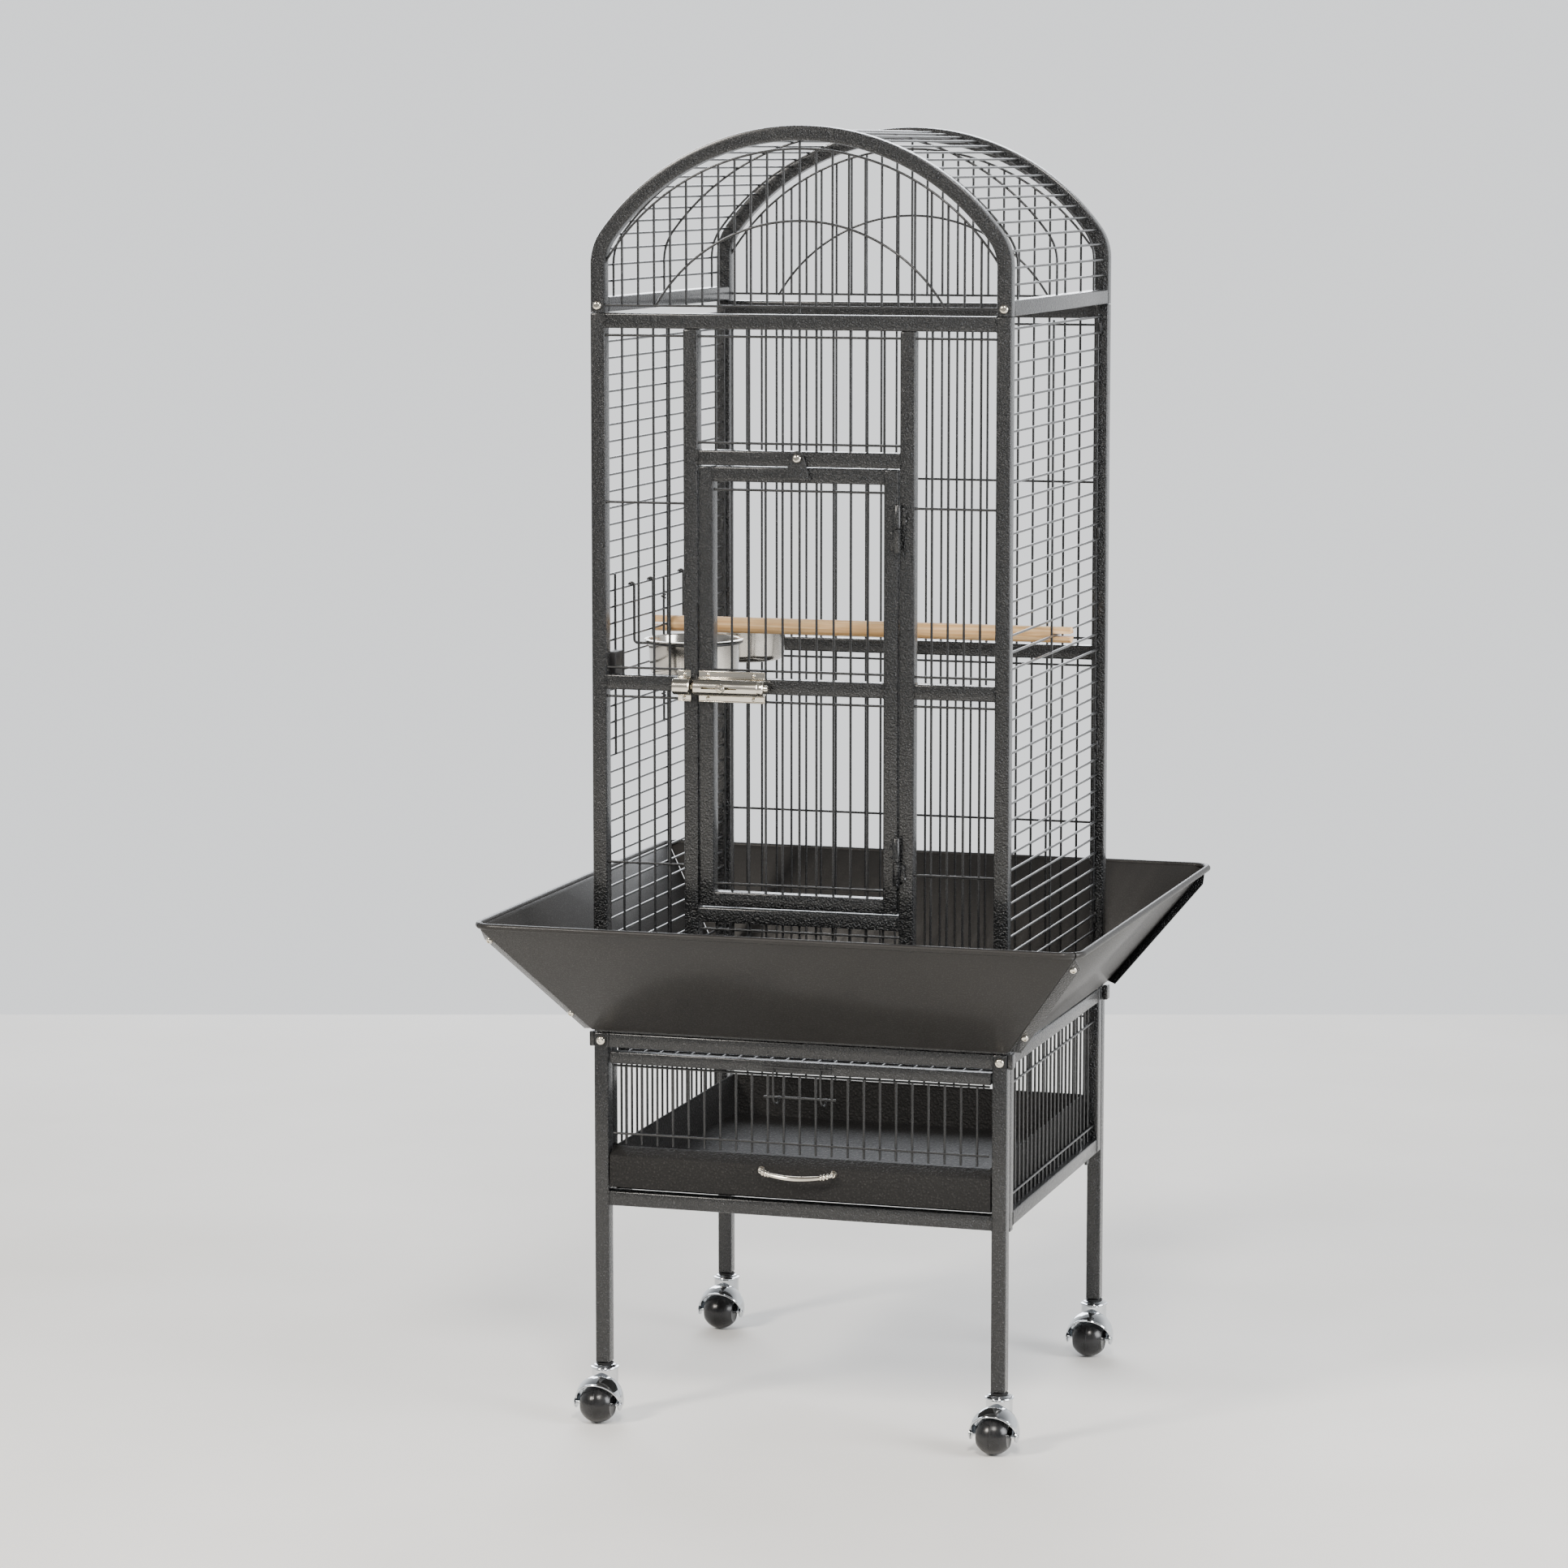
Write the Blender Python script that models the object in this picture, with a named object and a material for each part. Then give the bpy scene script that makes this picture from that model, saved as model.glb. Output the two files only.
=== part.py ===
# Dome-top wire bird cage on a wheeled stand, built as separate welded and bolted pieces.
# Metres, +Z up, front of the cage towards -Y, floor at Z = 0 under the middle of the stand.
import math

import bmesh
import bpy
from mathutils import Vector

# Driving dimensions
WIDTH = 0.4572          # outside of the posts, left to right
DEPTH = 0.4500          # outside of the posts, front to back
TUBE = 0.0159           # square tube
WIRE = 0.0026           # grille wire across, with its coat
PITCH = 0.0177          # grille wire spacing
GAP = 0.0003            # between pieces that touch

LEG_LOW = 0.0620        # lower end of the leg tubes
RAIL_LOW = 0.2447       # middle of the stand's lower rails
STAND_TOP = 0.4175      # middle of the stand's upper rails
CAGE_LOW = 0.4258       # lower end of the cage posts
CAGE_TOP = 1.1945       # upper end of the cage posts
MID_RAIL = 0.8045
HEADER = 1.0445
SILL = 0.5590
MULLION_X = 0.11815

DOOR_X = 0.1089         # half width of the main door
DOOR_LOW = 0.5685
DOOR_HIGH = 1.0355
HINGE_X = 0.1092
HINGE_Y = -0.2294
HINGE_R = 0.0038
HINGE_LENGTH = 0.0510
HINGE_HEIGHTS = {"upper": 0.9747, "lower": 0.6255}

ARCH_R = 0.2700         # outside of the dome arch over the top
ARCH_CENTRE = 1.1197
SHOULDER_R = 0.0600     # outside of its tighter bend down to the foot
SPRING_LINE = 1.2449
GABLE_LOW = 1.2025
GABLE_ARC = (0.2522, 1.1133)    # radius and centre height of the wire under the arch
DECO_ARC = (0.1832, 1.1081)     # the same for the decorative arc
DECO_END = 0.1550
RAIL_TOP = 1.2107               # top of the roof's side rails

GUARD_LOW = (0.2300, 0.2264, 0.4295)     # half width, half depth and height of its lower edge
GUARD_HIGH = (0.3258, 0.3222, 0.5525)    # the same for its rim
SHEET = 0.0012

PERCH_Y = 0.0108
PERCH_Z = 0.8447
PERCH_R = 0.00875
PERCH_END = 0.2380

CUP_X = -0.1600
CUP_Y = {"front": -0.0850, "rear": 0.0850}
CUP_RIM = 0.8390
FEEDER_HINGE_Y = -0.0080
FEEDER_EDGE_Y = -0.1720
FEEDER_ROWS = (-6, 3)           # side wires that the feeder door carries, counted from the perch
KNOB_Y = -0.1915

BALL_R = 0.0210
BALL_BACK = -0.0230             # ball centre from the swivel axis, along Y
CASTER_X = WIDTH / 2 - TUBE / 2
CASTER_Y = DEPTH / 2 - TUBE / 2

HALF = TUBE / 2
POST_X = WIDTH / 2 - HALF
POST_Y = DEPTH / 2 - HALF
INNER_X = WIDTH / 2 - TUBE
INNER_Y = DEPTH / 2 - TUBE
R = WIRE / 2
WIRE_Y = DEPTH / 2 - 0.0065     # plane of the wires in the front and back frames


def clear_scene():
    for item in list(bpy.data.objects):
        bpy.data.objects.remove(item, do_unlink=True)


def material(name, colour, roughness, metallic):
    found = bpy.data.materials.get(name)
    if found:
        return found
    made = bpy.data.materials.new(name)
    made.use_nodes = True
    shader = made.node_tree.nodes["Principled BSDF"]
    shader.inputs["Base Color"].default_value = (*colour, 1.0)
    shader.inputs["Roughness"].default_value = roughness
    shader.inputs["Metallic"].default_value = metallic
    return made


def hammertone():
    return material("hammertone_black", (0.035, 0.035, 0.038), 0.45, 0.3)


def sheet_coat():
    return material("satin_black_sheet", (0.030, 0.029, 0.029), 0.40, 0.2)


def bright_nickel():
    return material("bright_nickel", (0.72, 0.70, 0.66), 0.18, 1.0)


def stainless():
    return material("stainless", (0.62, 0.61, 0.58), 0.22, 1.0)


def black_plastic():
    return material("black_plastic", (0.02, 0.02, 0.02), 0.35, 0.0)


def pine():
    return material("pine", (0.72, 0.52, 0.32), 0.6, 0.0)


def finish(name, bm, look, smooth_angle=None):
    """Turns a bmesh into a named object with outward faces."""
    bmesh.ops.recalc_face_normals(bm, faces=bm.faces)
    mesh = bpy.data.meshes.new(name)
    bm.to_mesh(mesh)
    bm.free()
    mesh.materials.append(look)
    if smooth_angle:
        mesh.shade_smooth()
        mesh.set_sharp_from_angle(angle=math.radians(smooth_angle))
    piece = bpy.data.objects.new(name, mesh)
    bpy.context.scene.collection.objects.link(piece)
    return piece


def boolean(piece, other, operation):
    """Adds an exact Boolean and hides the other operand as a guide."""
    step = piece.modifiers.new(operation.lower() + "_" + other.name, "BOOLEAN")
    step.operation = operation
    step.solver = "EXACT"
    step.object = other
    other.hide_render = True
    other.display_type = "WIRE"
    return piece


def box(bm, low, high):
    """Adds a box to a bmesh and returns its vertices."""
    corners = [(x, y, z) for x in (low[0], high[0]) for y in (low[1], high[1])
               for z in (low[2], high[2])]
    made = [bm.verts.new(c) for c in corners]
    for face in ((0, 1, 3, 2), (4, 6, 7, 5), (0, 4, 5, 1), (2, 3, 7, 6), (0, 2, 6, 4), (1, 5, 7, 3)):
        bm.faces.new([made[i] for i in face])
    return made


def box_piece(name, low, high, look):
    bm = bmesh.new()
    box(bm, low, high)
    return finish(name, bm, look)


def prism(name, outline, start, end, place, look):
    """A flat outline of (u, v) points carried from start to end. place(u, v, w) puts it in space."""
    bm = bmesh.new()
    ends = [[bm.verts.new(place(u, v, w)) for u, v in outline] for w in (start, end)]
    for ring in ends:
        bm.faces.new(ring)
    for i in range(len(outline)):
        j = (i + 1) % len(outline)
        bm.faces.new((ends[0][i], ends[0][j], ends[1][j], ends[1][i]))
    return finish(name, bm, look)


class Grid:
    """Bars that cross in one surface, as one closed skin.

    columns are (a, low b, high b) and rows are (b, low a, high a). place(a, b, n) puts a point
    of the surface in space, n metres off it. Square bars are tubes, and the others are wires
    with a diamond section."""

    def __init__(self, columns, rows, place, half, square=False):
        self.bm = bmesh.new()
        self.place = place
        self.half = half
        self.square = square
        self.points = {}
        self.arms = {}
        self.bars(columns, rows)

    def point(self, a, b, n):
        key = (round(a, 6), round(b, 6), n)
        if key not in self.points:
            self.points[key] = self.bm.verts.new(self.place(a, b, n * self.half))
        return self.points[key]

    def ring(self, a, b, side, is_row):
        """Points round a bar where it leaves the crossing or ends, in order round it."""
        h = self.half
        if is_row:
            low, high = (a + side * h, b - h), (a + side * h, b + h)
        else:
            low, high = (a - h, b + side * h), (a + h, b + side * h)
        if self.square:
            return [self.point(*low, -1), self.point(*high, -1),
                    self.point(*high, 1), self.point(*low, 1)]
        return [self.point(*low, 0), self.point(a, b, -1), self.point(*high, 0),
                self.point(a, b, 1)]

    def span(self, start, end):
        for i in range(4):
            j = (i + 1) % 4
            self.bm.faces.new((start[i], start[j], end[j], end[i]))

    def bars(self, columns, rows):
        crossings = {}
        for a, low, high in columns:
            for b, left, right in rows:
                if low - 1e-9 <= b <= high + 1e-9 and left - 1e-9 <= a <= right + 1e-9:
                    crossings[(round(a, 6), round(b, 6))] = set()
        for a, low, high in columns:
            stops = sorted({b for (x, b) in crossings if x == round(a, 6) and low - 1e-9 <= b <= high + 1e-9})
            self.run(crossings, a, stops, low, high, False)
        for b, left, right in rows:
            stops = sorted({a for (a, z) in crossings if z == round(b, 6) and left - 1e-9 <= a <= right + 1e-9})
            self.run(crossings, b, stops, left, right, True)
        for (a, b), arms in crossings.items():
            self.block(a, b, arms)

    def run(self, crossings, fixed, stops, low, high, is_row):
        """The stretches of one bar between its crossings, and its free ends."""
        def where(t):
            return (t, fixed) if is_row else (fixed, t)
        for here, there in zip(stops, stops[1:]):
            self.span(self.ring(*where(here), 1, is_row), self.ring(*where(there), -1, is_row))
            crossings[tuple(round(v, 6) for v in where(here))].add((is_row, 1))
            crossings[tuple(round(v, 6) for v in where(there))].add((is_row, -1))
        for stop, tip, side in ((stops[0], low, -1), (stops[-1], high, 1)):
            if side * (tip - stop) > self.half + 1e-5:
                start = self.ring(*where(stop), side, is_row)
                end = self.end_ring(*where(tip), is_row)
                self.span(start, end)
                self.bm.faces.new(end)
                crossings[tuple(round(v, 6) for v in where(stop))].add((is_row, side))

    def end_ring(self, a, b, is_row):
        h = self.half
        low, high = ((a, b - h), (a, b + h)) if is_row else ((a - h, b), (a + h, b))
        if self.square:
            return [self.point(*low, -1), self.point(*high, -1),
                    self.point(*high, 1), self.point(*low, 1)]
        return [self.point(*low, 0), self.point(a, b, -1.0), self.point(*high, 0),
                self.point(a, b, 1.0)]

    def block(self, a, b, arms):
        """Closes a crossing on the sides that no bar leaves from."""
        h = self.half
        corners = [(a - h, b - h), (a + h, b - h), (a + h, b + h), (a - h, b + h)]
        sides = (((False, -1), 0, 1), ((True, 1), 1, 2), ((False, 1), 2, 3), ((True, -1), 3, 0))
        if self.square:
            for n in (-1, 1):
                self.bm.faces.new([self.point(*c, n) for c in corners])
        for arm, i, j in sides:
            if arm in arms:
                continue
            if self.square:
                self.bm.faces.new([self.point(*corners[i], -1), self.point(*corners[j], -1),
                                   self.point(*corners[j], 1), self.point(*corners[i], 1)])
            else:
                for n in (-1, 1):
                    self.bm.faces.new([self.point(*corners[i], 0), self.point(*corners[j], 0),
                                       self.point(a, b, n)])


def grid_piece(name, columns, rows, place, half, look, square=False):
    return finish(name, Grid(columns, rows, place, half, square).bm, look)


def facing_y(y):
    """A surface across the cage at depth y: a is X, b is Z, n is towards +Y."""
    return lambda a, b, n: (a, y + n, b)


def facing_x(x):
    """A surface along the cage's side at x: a is Y, b is Z, n is towards +X."""
    return lambda a, b, n: (x + n, a, b)


def evenly(low, high, count):
    """Positions of wires that divide an opening into equal gaps."""
    return [low + (high - low) * (i + 1) / (count + 1) for i in range(count)]


def sweep(name, path, section, look, closed=False, smooth_angle=None):
    """A bar along a path. section is a list of (side, up) points round it."""
    path = [Vector(p) for p in path]
    bm = bmesh.new()
    rings = []
    count = len(path)
    up = None
    for i, here in enumerate(path):
        before = path[i - 1] if (closed or i) else here
        after = path[(i + 1) % count] if (closed or i < count - 1) else here
        into = (here - before).normalized() if (here - before).length > 0 else None
        out = (after - here).normalized() if (after - here).length > 0 else None
        along = ((into or out) + (out or into)).normalized()
        if up is None:
            up = Vector((0, 0, 1)) if abs(along.z) < 0.9 else Vector((0, 1, 0))
        side = along.cross(up).normalized()
        up = side.cross(along).normalized()
        bend = 1.0
        if into and out:
            bend = 1.0 / max(0.5, math.cos(into.angle(out) / 2))
            turn = out - into
            turn_axis = turn.normalized() if turn.length > 1e-6 else side
        ring = []
        for s, u in section:
            offset = side * s + up * u
            if into and out:
                offset += turn_axis * (offset.dot(turn_axis) * (bend - 1.0))
            ring.append(bm.verts.new(here + offset))
        rings.append(ring)
    pairs = list(zip(rings, rings[1:]))
    if closed:
        pairs.append((rings[-1], rings[0]))
    size = len(section)
    for ring, following in pairs:
        for k in range(size):
            m = (k + 1) % size
            bm.faces.new((ring[k], ring[m], following[m], following[k]))
    if not closed:
        bm.faces.new(rings[0])
        bm.faces.new(rings[-1])
    return finish(name, bm, look, smooth_angle)


def round_section(radius, sides):
    return [(radius * math.cos(2 * math.pi * i / sides), radius * math.sin(2 * math.pi * i / sides))
            for i in range(sides)]


def turned(name, profile, centre, axis, segments, look, closed_profile=True, smooth_angle=35):
    """A turned piece. profile is (radius, along) points. axis is "X", "Y" or "Z"."""
    bm = bmesh.new()
    rings = []
    for radius, along in profile:
        if radius < 1e-7:
            rings.append([bm.verts.new(turn_point(0.0, 0.0, along, centre, axis))])
            continue
        ring = []
        for i in range(segments):
            angle = 2 * math.pi * i / segments
            ring.append(bm.verts.new(turn_point(radius, angle, along, centre, axis)))
        rings.append(ring)
    pairs = list(zip(rings, rings[1:]))
    if closed_profile:
        pairs.append((rings[-1], rings[0]))
    for ring, following in pairs:
        join_rings(bm, ring, following, segments)
    return finish(name, bm, look, smooth_angle)


def turn_point(radius, angle, along, centre, axis):
    u, v = radius * math.cos(angle), radius * math.sin(angle)
    offset = {"X": (along, u, v), "Y": (u, along, v), "Z": (u, v, along)}[axis]
    return tuple(c + o for c, o in zip(centre, offset))


def join_rings(bm, ring, following, segments):
    if len(ring) == 1 and len(following) == 1:
        return
    for i in range(segments):
        j = (i + 1) % segments
        corners = [ring[i % len(ring)], ring[j % len(ring)],
                   following[j % len(following)], following[i % len(following)]]
        unique = []
        for vertex in corners:
            if vertex not in unique:
                unique.append(vertex)
        bm.faces.new(unique)


# Frames of square tube

def front_panel_frame():
    post, mullion = POST_X, MULLION_X
    bottom, top = CAGE_LOW + HALF, CAGE_TOP - HALF
    columns = [(x, bottom, top) for x in (-post, -mullion, mullion, post)]
    rows = [(bottom, -post, post), (top, -post, post), (HEADER, -mullion, mullion),
            (SILL, -mullion, mullion), (MID_RAIL, -post, -mullion), (MID_RAIL, mullion, post)]
    grid_piece("front_panel_frame", columns, rows, facing_y(-POST_Y), HALF, hammertone(), True)


def front_panel_wires():
    """The wires in each opening of the front frame, as one welded mesh for each opening."""
    in_post, out_mullion, in_mullion = INNER_X, MULLION_X + HALF, MULLION_X - HALF
    top = CAGE_TOP - TUBE
    bottom = CAGE_LOW + TUBE
    mid_high, mid_low = MID_RAIL + HALF, MID_RAIL - HALF
    near = 0.0075           # from a rail to the cross wire beside it
    openings = {}
    for side, sign in (("left", -1), ("right", 1)):
        edges = sorted((sign * in_post, sign * out_mullion))
        openings["upper_" + side] = (edges, mid_high, top, (mid_high + near, 0.9955, top - near), 4)
        openings["lower_" + side] = (edges, bottom, mid_low, (bottom + near, 0.6110, mid_low - near), 4)
    centre = (-in_mullion, in_mullion)
    openings["over_door"] = (centre, HEADER + HALF, top, (HEADER + HALF + near, top - near), 11)
    openings["under_sill"] = (centre, bottom, SILL - HALF, (bottom + near, SILL - HALF - near), 11)
    for name, (edges, low, high, heights, count) in openings.items():
        columns = [(x, low + GAP, high - GAP) for x in evenly(edges[0], edges[1], count)]
        rows = [(z, edges[0] + GAP, edges[1] - GAP) for z in heights]
        grid_piece("front_wires_" + name, columns, rows, facing_y(-WIRE_Y), R, hammertone())


def back_panel():
    """Frame and wires of the back, welded into one panel."""
    bottom, top = CAGE_LOW + HALF, CAGE_TOP - HALF
    rows = [(z, -POST_X, POST_X) for z in (bottom, MID_RAIL, top)]
    columns = [(x, bottom, top) for x in (-POST_X, POST_X)]
    panel = grid_piece("back_panel", columns, rows, facing_y(POST_Y), HALF, hammertone(), True)
    wires = evenly(-INNER_X, INNER_X, 23)
    near = 0.0075
    reach = INNER_X + 0.0010
    for part, low, high, extra in (("lower", bottom + HALF, MID_RAIL - HALF, 0.6110),
                                   ("upper", MID_RAIL + HALF, top - HALF, 0.9955)):
        columns = [(x, low + near, high - near) for x in wires]
        rows = [(z, -reach, reach) for z in (low + near, extra, high - near)]
        mesh = grid_piece("guide_back_" + part, columns, rows, facing_y(WIRE_Y), R, hammertone())
        boolean(panel, mesh, "UNION")


def side_row_heights():
    """Heights of the side wires, counted from the one that the perch rests on."""
    lowest = math.ceil((CAGE_LOW + 0.010 - PERCH_Z) / PITCH)
    highest = math.floor((CAGE_TOP - 0.006 - PERCH_Z) / PITCH)
    return {k: PERCH_Z + k * PITCH for k in range(lowest, highest + 1)}


def right_side_panel():
    heights = side_row_heights()
    reach = INNER_Y - GAP
    rows = [(z, -reach, reach) for z in heights.values()]
    columns = [(0.0, min(heights.values()), max(heights.values()))]
    grid_piece("right_side_panel", columns, rows, facing_x(POST_X), R, hammertone())


def left_side_panel():
    """Side wires with the opening that the feeder door closes."""
    heights = side_row_heights()
    reach = INNER_Y - GAP
    jamb = FEEDER_EDGE_Y - 0.0060
    low_row, high_row = FEEDER_ROWS
    rows = []
    for k, z in heights.items():
        if low_row <= k <= high_row:
            rows.append((z, -reach, jamb))
            rows.append((z, 0.0, reach))
        else:
            rows.append((z, -reach, reach))
    columns = [(0.0, min(heights.values()), max(heights.values())),
               (jamb, heights[low_row - 1], heights[high_row + 1])]
    grid_piece("left_side_panel", columns, rows, facing_x(-POST_X), R, hammertone())


def feeder_door():
    heights = side_row_heights()
    low_row, high_row = FEEDER_ROWS
    carried = [heights[k] for k in range(low_row, high_row + 1)]
    rows = [(z, FEEDER_EDGE_Y, FEEDER_HINGE_Y) for z in carried]
    columns = [(y, carried[0], carried[-1]) for y in (FEEDER_EDGE_Y, FEEDER_HINGE_Y)]
    grid_piece("feeder_door", columns, rows, facing_x(-POST_X), R, hammertone())


def main_door():
    """Door frame and its wires, welded into one panel."""
    stile = DOOR_X - HALF
    low, high = DOOR_LOW + HALF, DOOR_HIGH - HALF
    rows = [(z, -stile, stile) for z in (low, MID_RAIL, high)]
    columns = [(x, low, high) for x in (-stile, stile)]
    door = grid_piece("main_door", columns, rows, facing_y(-POST_Y), HALF, hammertone(), True)
    inner = DOOR_X - TUBE
    near = 0.0085
    for part, bottom, top in (("lower", low + HALF, MID_RAIL - HALF), ("upper", MID_RAIL + HALF, high - HALF)):
        columns = [(x, bottom + near, top - near) for x in evenly(-inner, inner, 9)]
        rows = [(z, -inner - 0.001, inner + 0.001) for z in (bottom + near, top - near)]
        mesh = grid_piece("guide_door_" + part, columns, rows, facing_y(-WIRE_Y), R, hammertone())
        boolean(door, mesh, "UNION")


def stand_frames():
    """Front and back welded frames, each with two legs and two rails."""
    for name, y in (("stand_front_frame", -POST_Y), ("stand_back_frame", POST_Y)):
        columns = [(x, LEG_LOW, STAND_TOP) for x in (-POST_X, POST_X)]
        rows = [(z, -POST_X, POST_X) for z in (RAIL_LOW, STAND_TOP)]
        grid_piece(name, columns, rows, facing_y(y), HALF, hammertone(), True)


def stand_side_grilles():
    """Side frames with their wires and the ledge that the tray slides on."""
    low, high = RAIL_LOW, STAND_TOP
    post = INNER_Y - HALF - GAP
    for name, sign in (("stand_left_grille", -1), ("stand_right_grille", 1)):
        x = sign * POST_X
        columns = [(y, low, high) for y in (-post, post)]
        rows = [(z, -post, post) for z in (low, high)]
        frame = grid_piece(name, columns, rows, facing_x(x), HALF, hammertone(), True)
        inner = post - HALF
        columns = [(y, 0.2680, 0.3880) for y in evenly(-inner, inner, 21)]
        rows = [(z, -inner - 0.001, inner + 0.001) for z in (0.2680, 0.3880)]
        mesh = grid_piece("guide_" + name, columns, rows, facing_x(x), R, hammertone())
        boolean(frame, mesh, "UNION")
        near, far = sorted((sign * (INNER_X + 0.0008), sign * 0.1960))
        ledge = box_piece("guide_ledge_" + name, (near, -0.190, 0.2511), (far, 0.190, 0.2527), hammertone())
        boolean(frame, ledge, "UNION")
        outline = [(0.2020, 0.3998), (0.2135, 0.3998), (0.2135, 0.4130), (0.2119, 0.4130),
                   (0.2119, 0.4014), (0.2020, 0.4014)]
        shelf = prism("guide_shelf_" + name, outline, -0.190, 0.190,
                      lambda u, v, w, side=sign: (side * u, w, v), hammertone())
        boolean(frame, shelf, "UNION")


def stand_back_wires():
    reach = INNER_X - GAP
    columns = [(x, 0.2680, 0.3880) for x in evenly(-INNER_X, INNER_X, 23)]
    rows = [(z, -reach, reach) for z in (0.2680, 0.3880)]
    grid_piece("stand_back_wires", columns, rows, facing_y(WIRE_Y), R, hammertone())


# Dome

def arch_path(offset, steps_top, steps_bend):
    """Centre line of the dome arch, offset outwards from the tube's middle."""
    big = ARCH_R - HALF + offset
    small = SHOULDER_R - HALF + offset
    centre_x = POST_X - (SHOULDER_R - HALF)
    join = math.atan2(centre_x, SPRING_LINE - ARCH_CENTRE)
    half_path = []
    for i in range(steps_bend):
        angle = math.pi / 2 - (math.pi / 2 - join) * i / steps_bend
        half_path.append((centre_x + small * math.sin(angle), SPRING_LINE + small * math.cos(angle)))
    for i in range(steps_top + 1):
        angle = join * (1 - i / steps_top)
        half_path.append((big * math.sin(angle), ARCH_CENTRE + big * math.cos(angle)))
    mirrored = [(-x, z) for x, z in half_path[:-1]]
    return mirrored + half_path[::-1]


def gable(name, sign):
    """Arch of square tube with its feet, and the wires that fill it."""
    y = sign * POST_Y
    path = arch_path(0.0, 9, 4)
    foot = CAGE_TOP + GAP
    points = [(-POST_X, y, foot)] + [(x, y, z) for x, z in path] + [(POST_X, y, foot)]
    square = [(-HALF, -HALF), (HALF, -HALF), (HALF, HALF), (-HALF, HALF)]
    arch = sweep(name, points, square, hammertone())
    mesh = gable_wires("guide_" + name, sign)
    return boolean(arch, mesh, "UNION")


def gable_wires(name, sign):
    """Wires between the bottom wire and the arc under the arch, with the decorative arc across."""
    radius, centre = GABLE_ARC
    deco_radius, deco_centre = DECO_ARC

    def place(a, b, n):
        if b < 0.4:
            height = GABLE_LOW + b
        elif b < 0.75:
            height = deco_centre + math.sqrt(deco_radius ** 2 - a * a) + (b - 0.5) * lean(a, deco_radius)
        else:
            height = centre + math.sqrt(radius ** 2 - a * a) + (b - 1.0) * lean(a, radius)
        return (a, sign * WIRE_Y + n, height)

    wires = evenly(-INNER_X, INNER_X, 23)
    columns = [(x, 0.0, 1.0) for x in wires if abs(x) > 1e-6]
    columns.append((0.0, -0.0076, 1.0 + 0.0100))
    reach = INNER_X + 0.0008
    rows = [(0.0, -reach, reach), (1.0, -reach, reach), (0.5, -DECO_END, DECO_END)]
    return grid_piece(name, columns, rows, place, R, hammertone())


def lean(a, radius):
    """How much a slanting wire is thicker when it is measured straight up."""
    return radius / math.sqrt(radius ** 2 - a * a)


def roof_panel():
    """Curved wire roof with its two side rails."""
    outward = 0.0030
    line = arch_path(outward, 24, 8)
    foot = RAIL_TOP - 0.0010
    line = [(-POST_X - outward, foot)] + line + [(POST_X + outward, foot)]
    lengths = [0.0]
    for (x0, z0), (x1, z1) in zip(line, line[1:]):
        lengths.append(lengths[-1] + math.hypot(x1 - x0, z1 - z0))
    total = lengths[-1]

    def place(a, b, n):
        t = min(max(b, 0.0), total)
        i = max(k for k in range(len(line) - 1) if lengths[k] <= t)
        share = (t - lengths[i]) / (lengths[i + 1] - lengths[i])
        (x0, z0), (x1, z1) = line[i], line[i + 1]
        step = math.hypot(x1 - x0, z1 - z0)
        normal = (-(z1 - z0) / step, (x1 - x0) / step)
        return (x0 + (x1 - x0) * share + normal[0] * n, a, z0 + (z1 - z0) * share + normal[1] * n)

    reach = INNER_Y - GAP
    count = round((total - 0.016) / PITCH)
    rows = [(0.0160 + (total - 0.032) * i / count, -reach, reach) for i in range(count + 1)]
    columns = [(y, 0.0, total) for y in (-0.170, 0.0, 0.170)]
    wires = grid_piece("roof_panel", columns, rows, place, R, hammertone())
    for side, sign in (("left", -1), ("right", 1)):
        x = sign * POST_X
        rail = box_piece("guide_rail_" + side, (x - HALF, -reach, CAGE_TOP + GAP),
                         (x + HALF, reach, RAIL_TOP), hammertone())
        boolean(wires, rail, "UNION")


def dome_bolts():
    """Bolts that hold the front arch to the roof's side rails."""
    for side, sign in (("left", -1), ("right", 1)):
        start = -DEPTH / 2 - GAP
        profile = [(0.0, start), (0.0047, start), (0.0047, start - 0.0010),
                   (0.0036, start - 0.0024), (0.0, start - 0.0029)]
        turned("dome_bolt_" + side, profile, (sign * POST_X, 0.0, 1.2022), "Y", 10,
               bright_nickel(), closed_profile=False)


# Seed guard

def guard_panels():
    low_x, low_y, low_z = GUARD_LOW
    high_x, high_y, high_z = GUARD_HIGH
    for name, turn in (("front", 0), ("right", 1), ("back", 2), ("left", 3)):
        across = turn % 2 == 0
        half_low, half_high = (low_x, high_x) if across else (low_y, high_y)
        out_low, out_high = (low_y, high_y) if across else (low_x, high_x)
        guard_panel("guard_" + name, turn, half_low, half_high, out_low, out_high, low_z, high_z, across)


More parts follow.
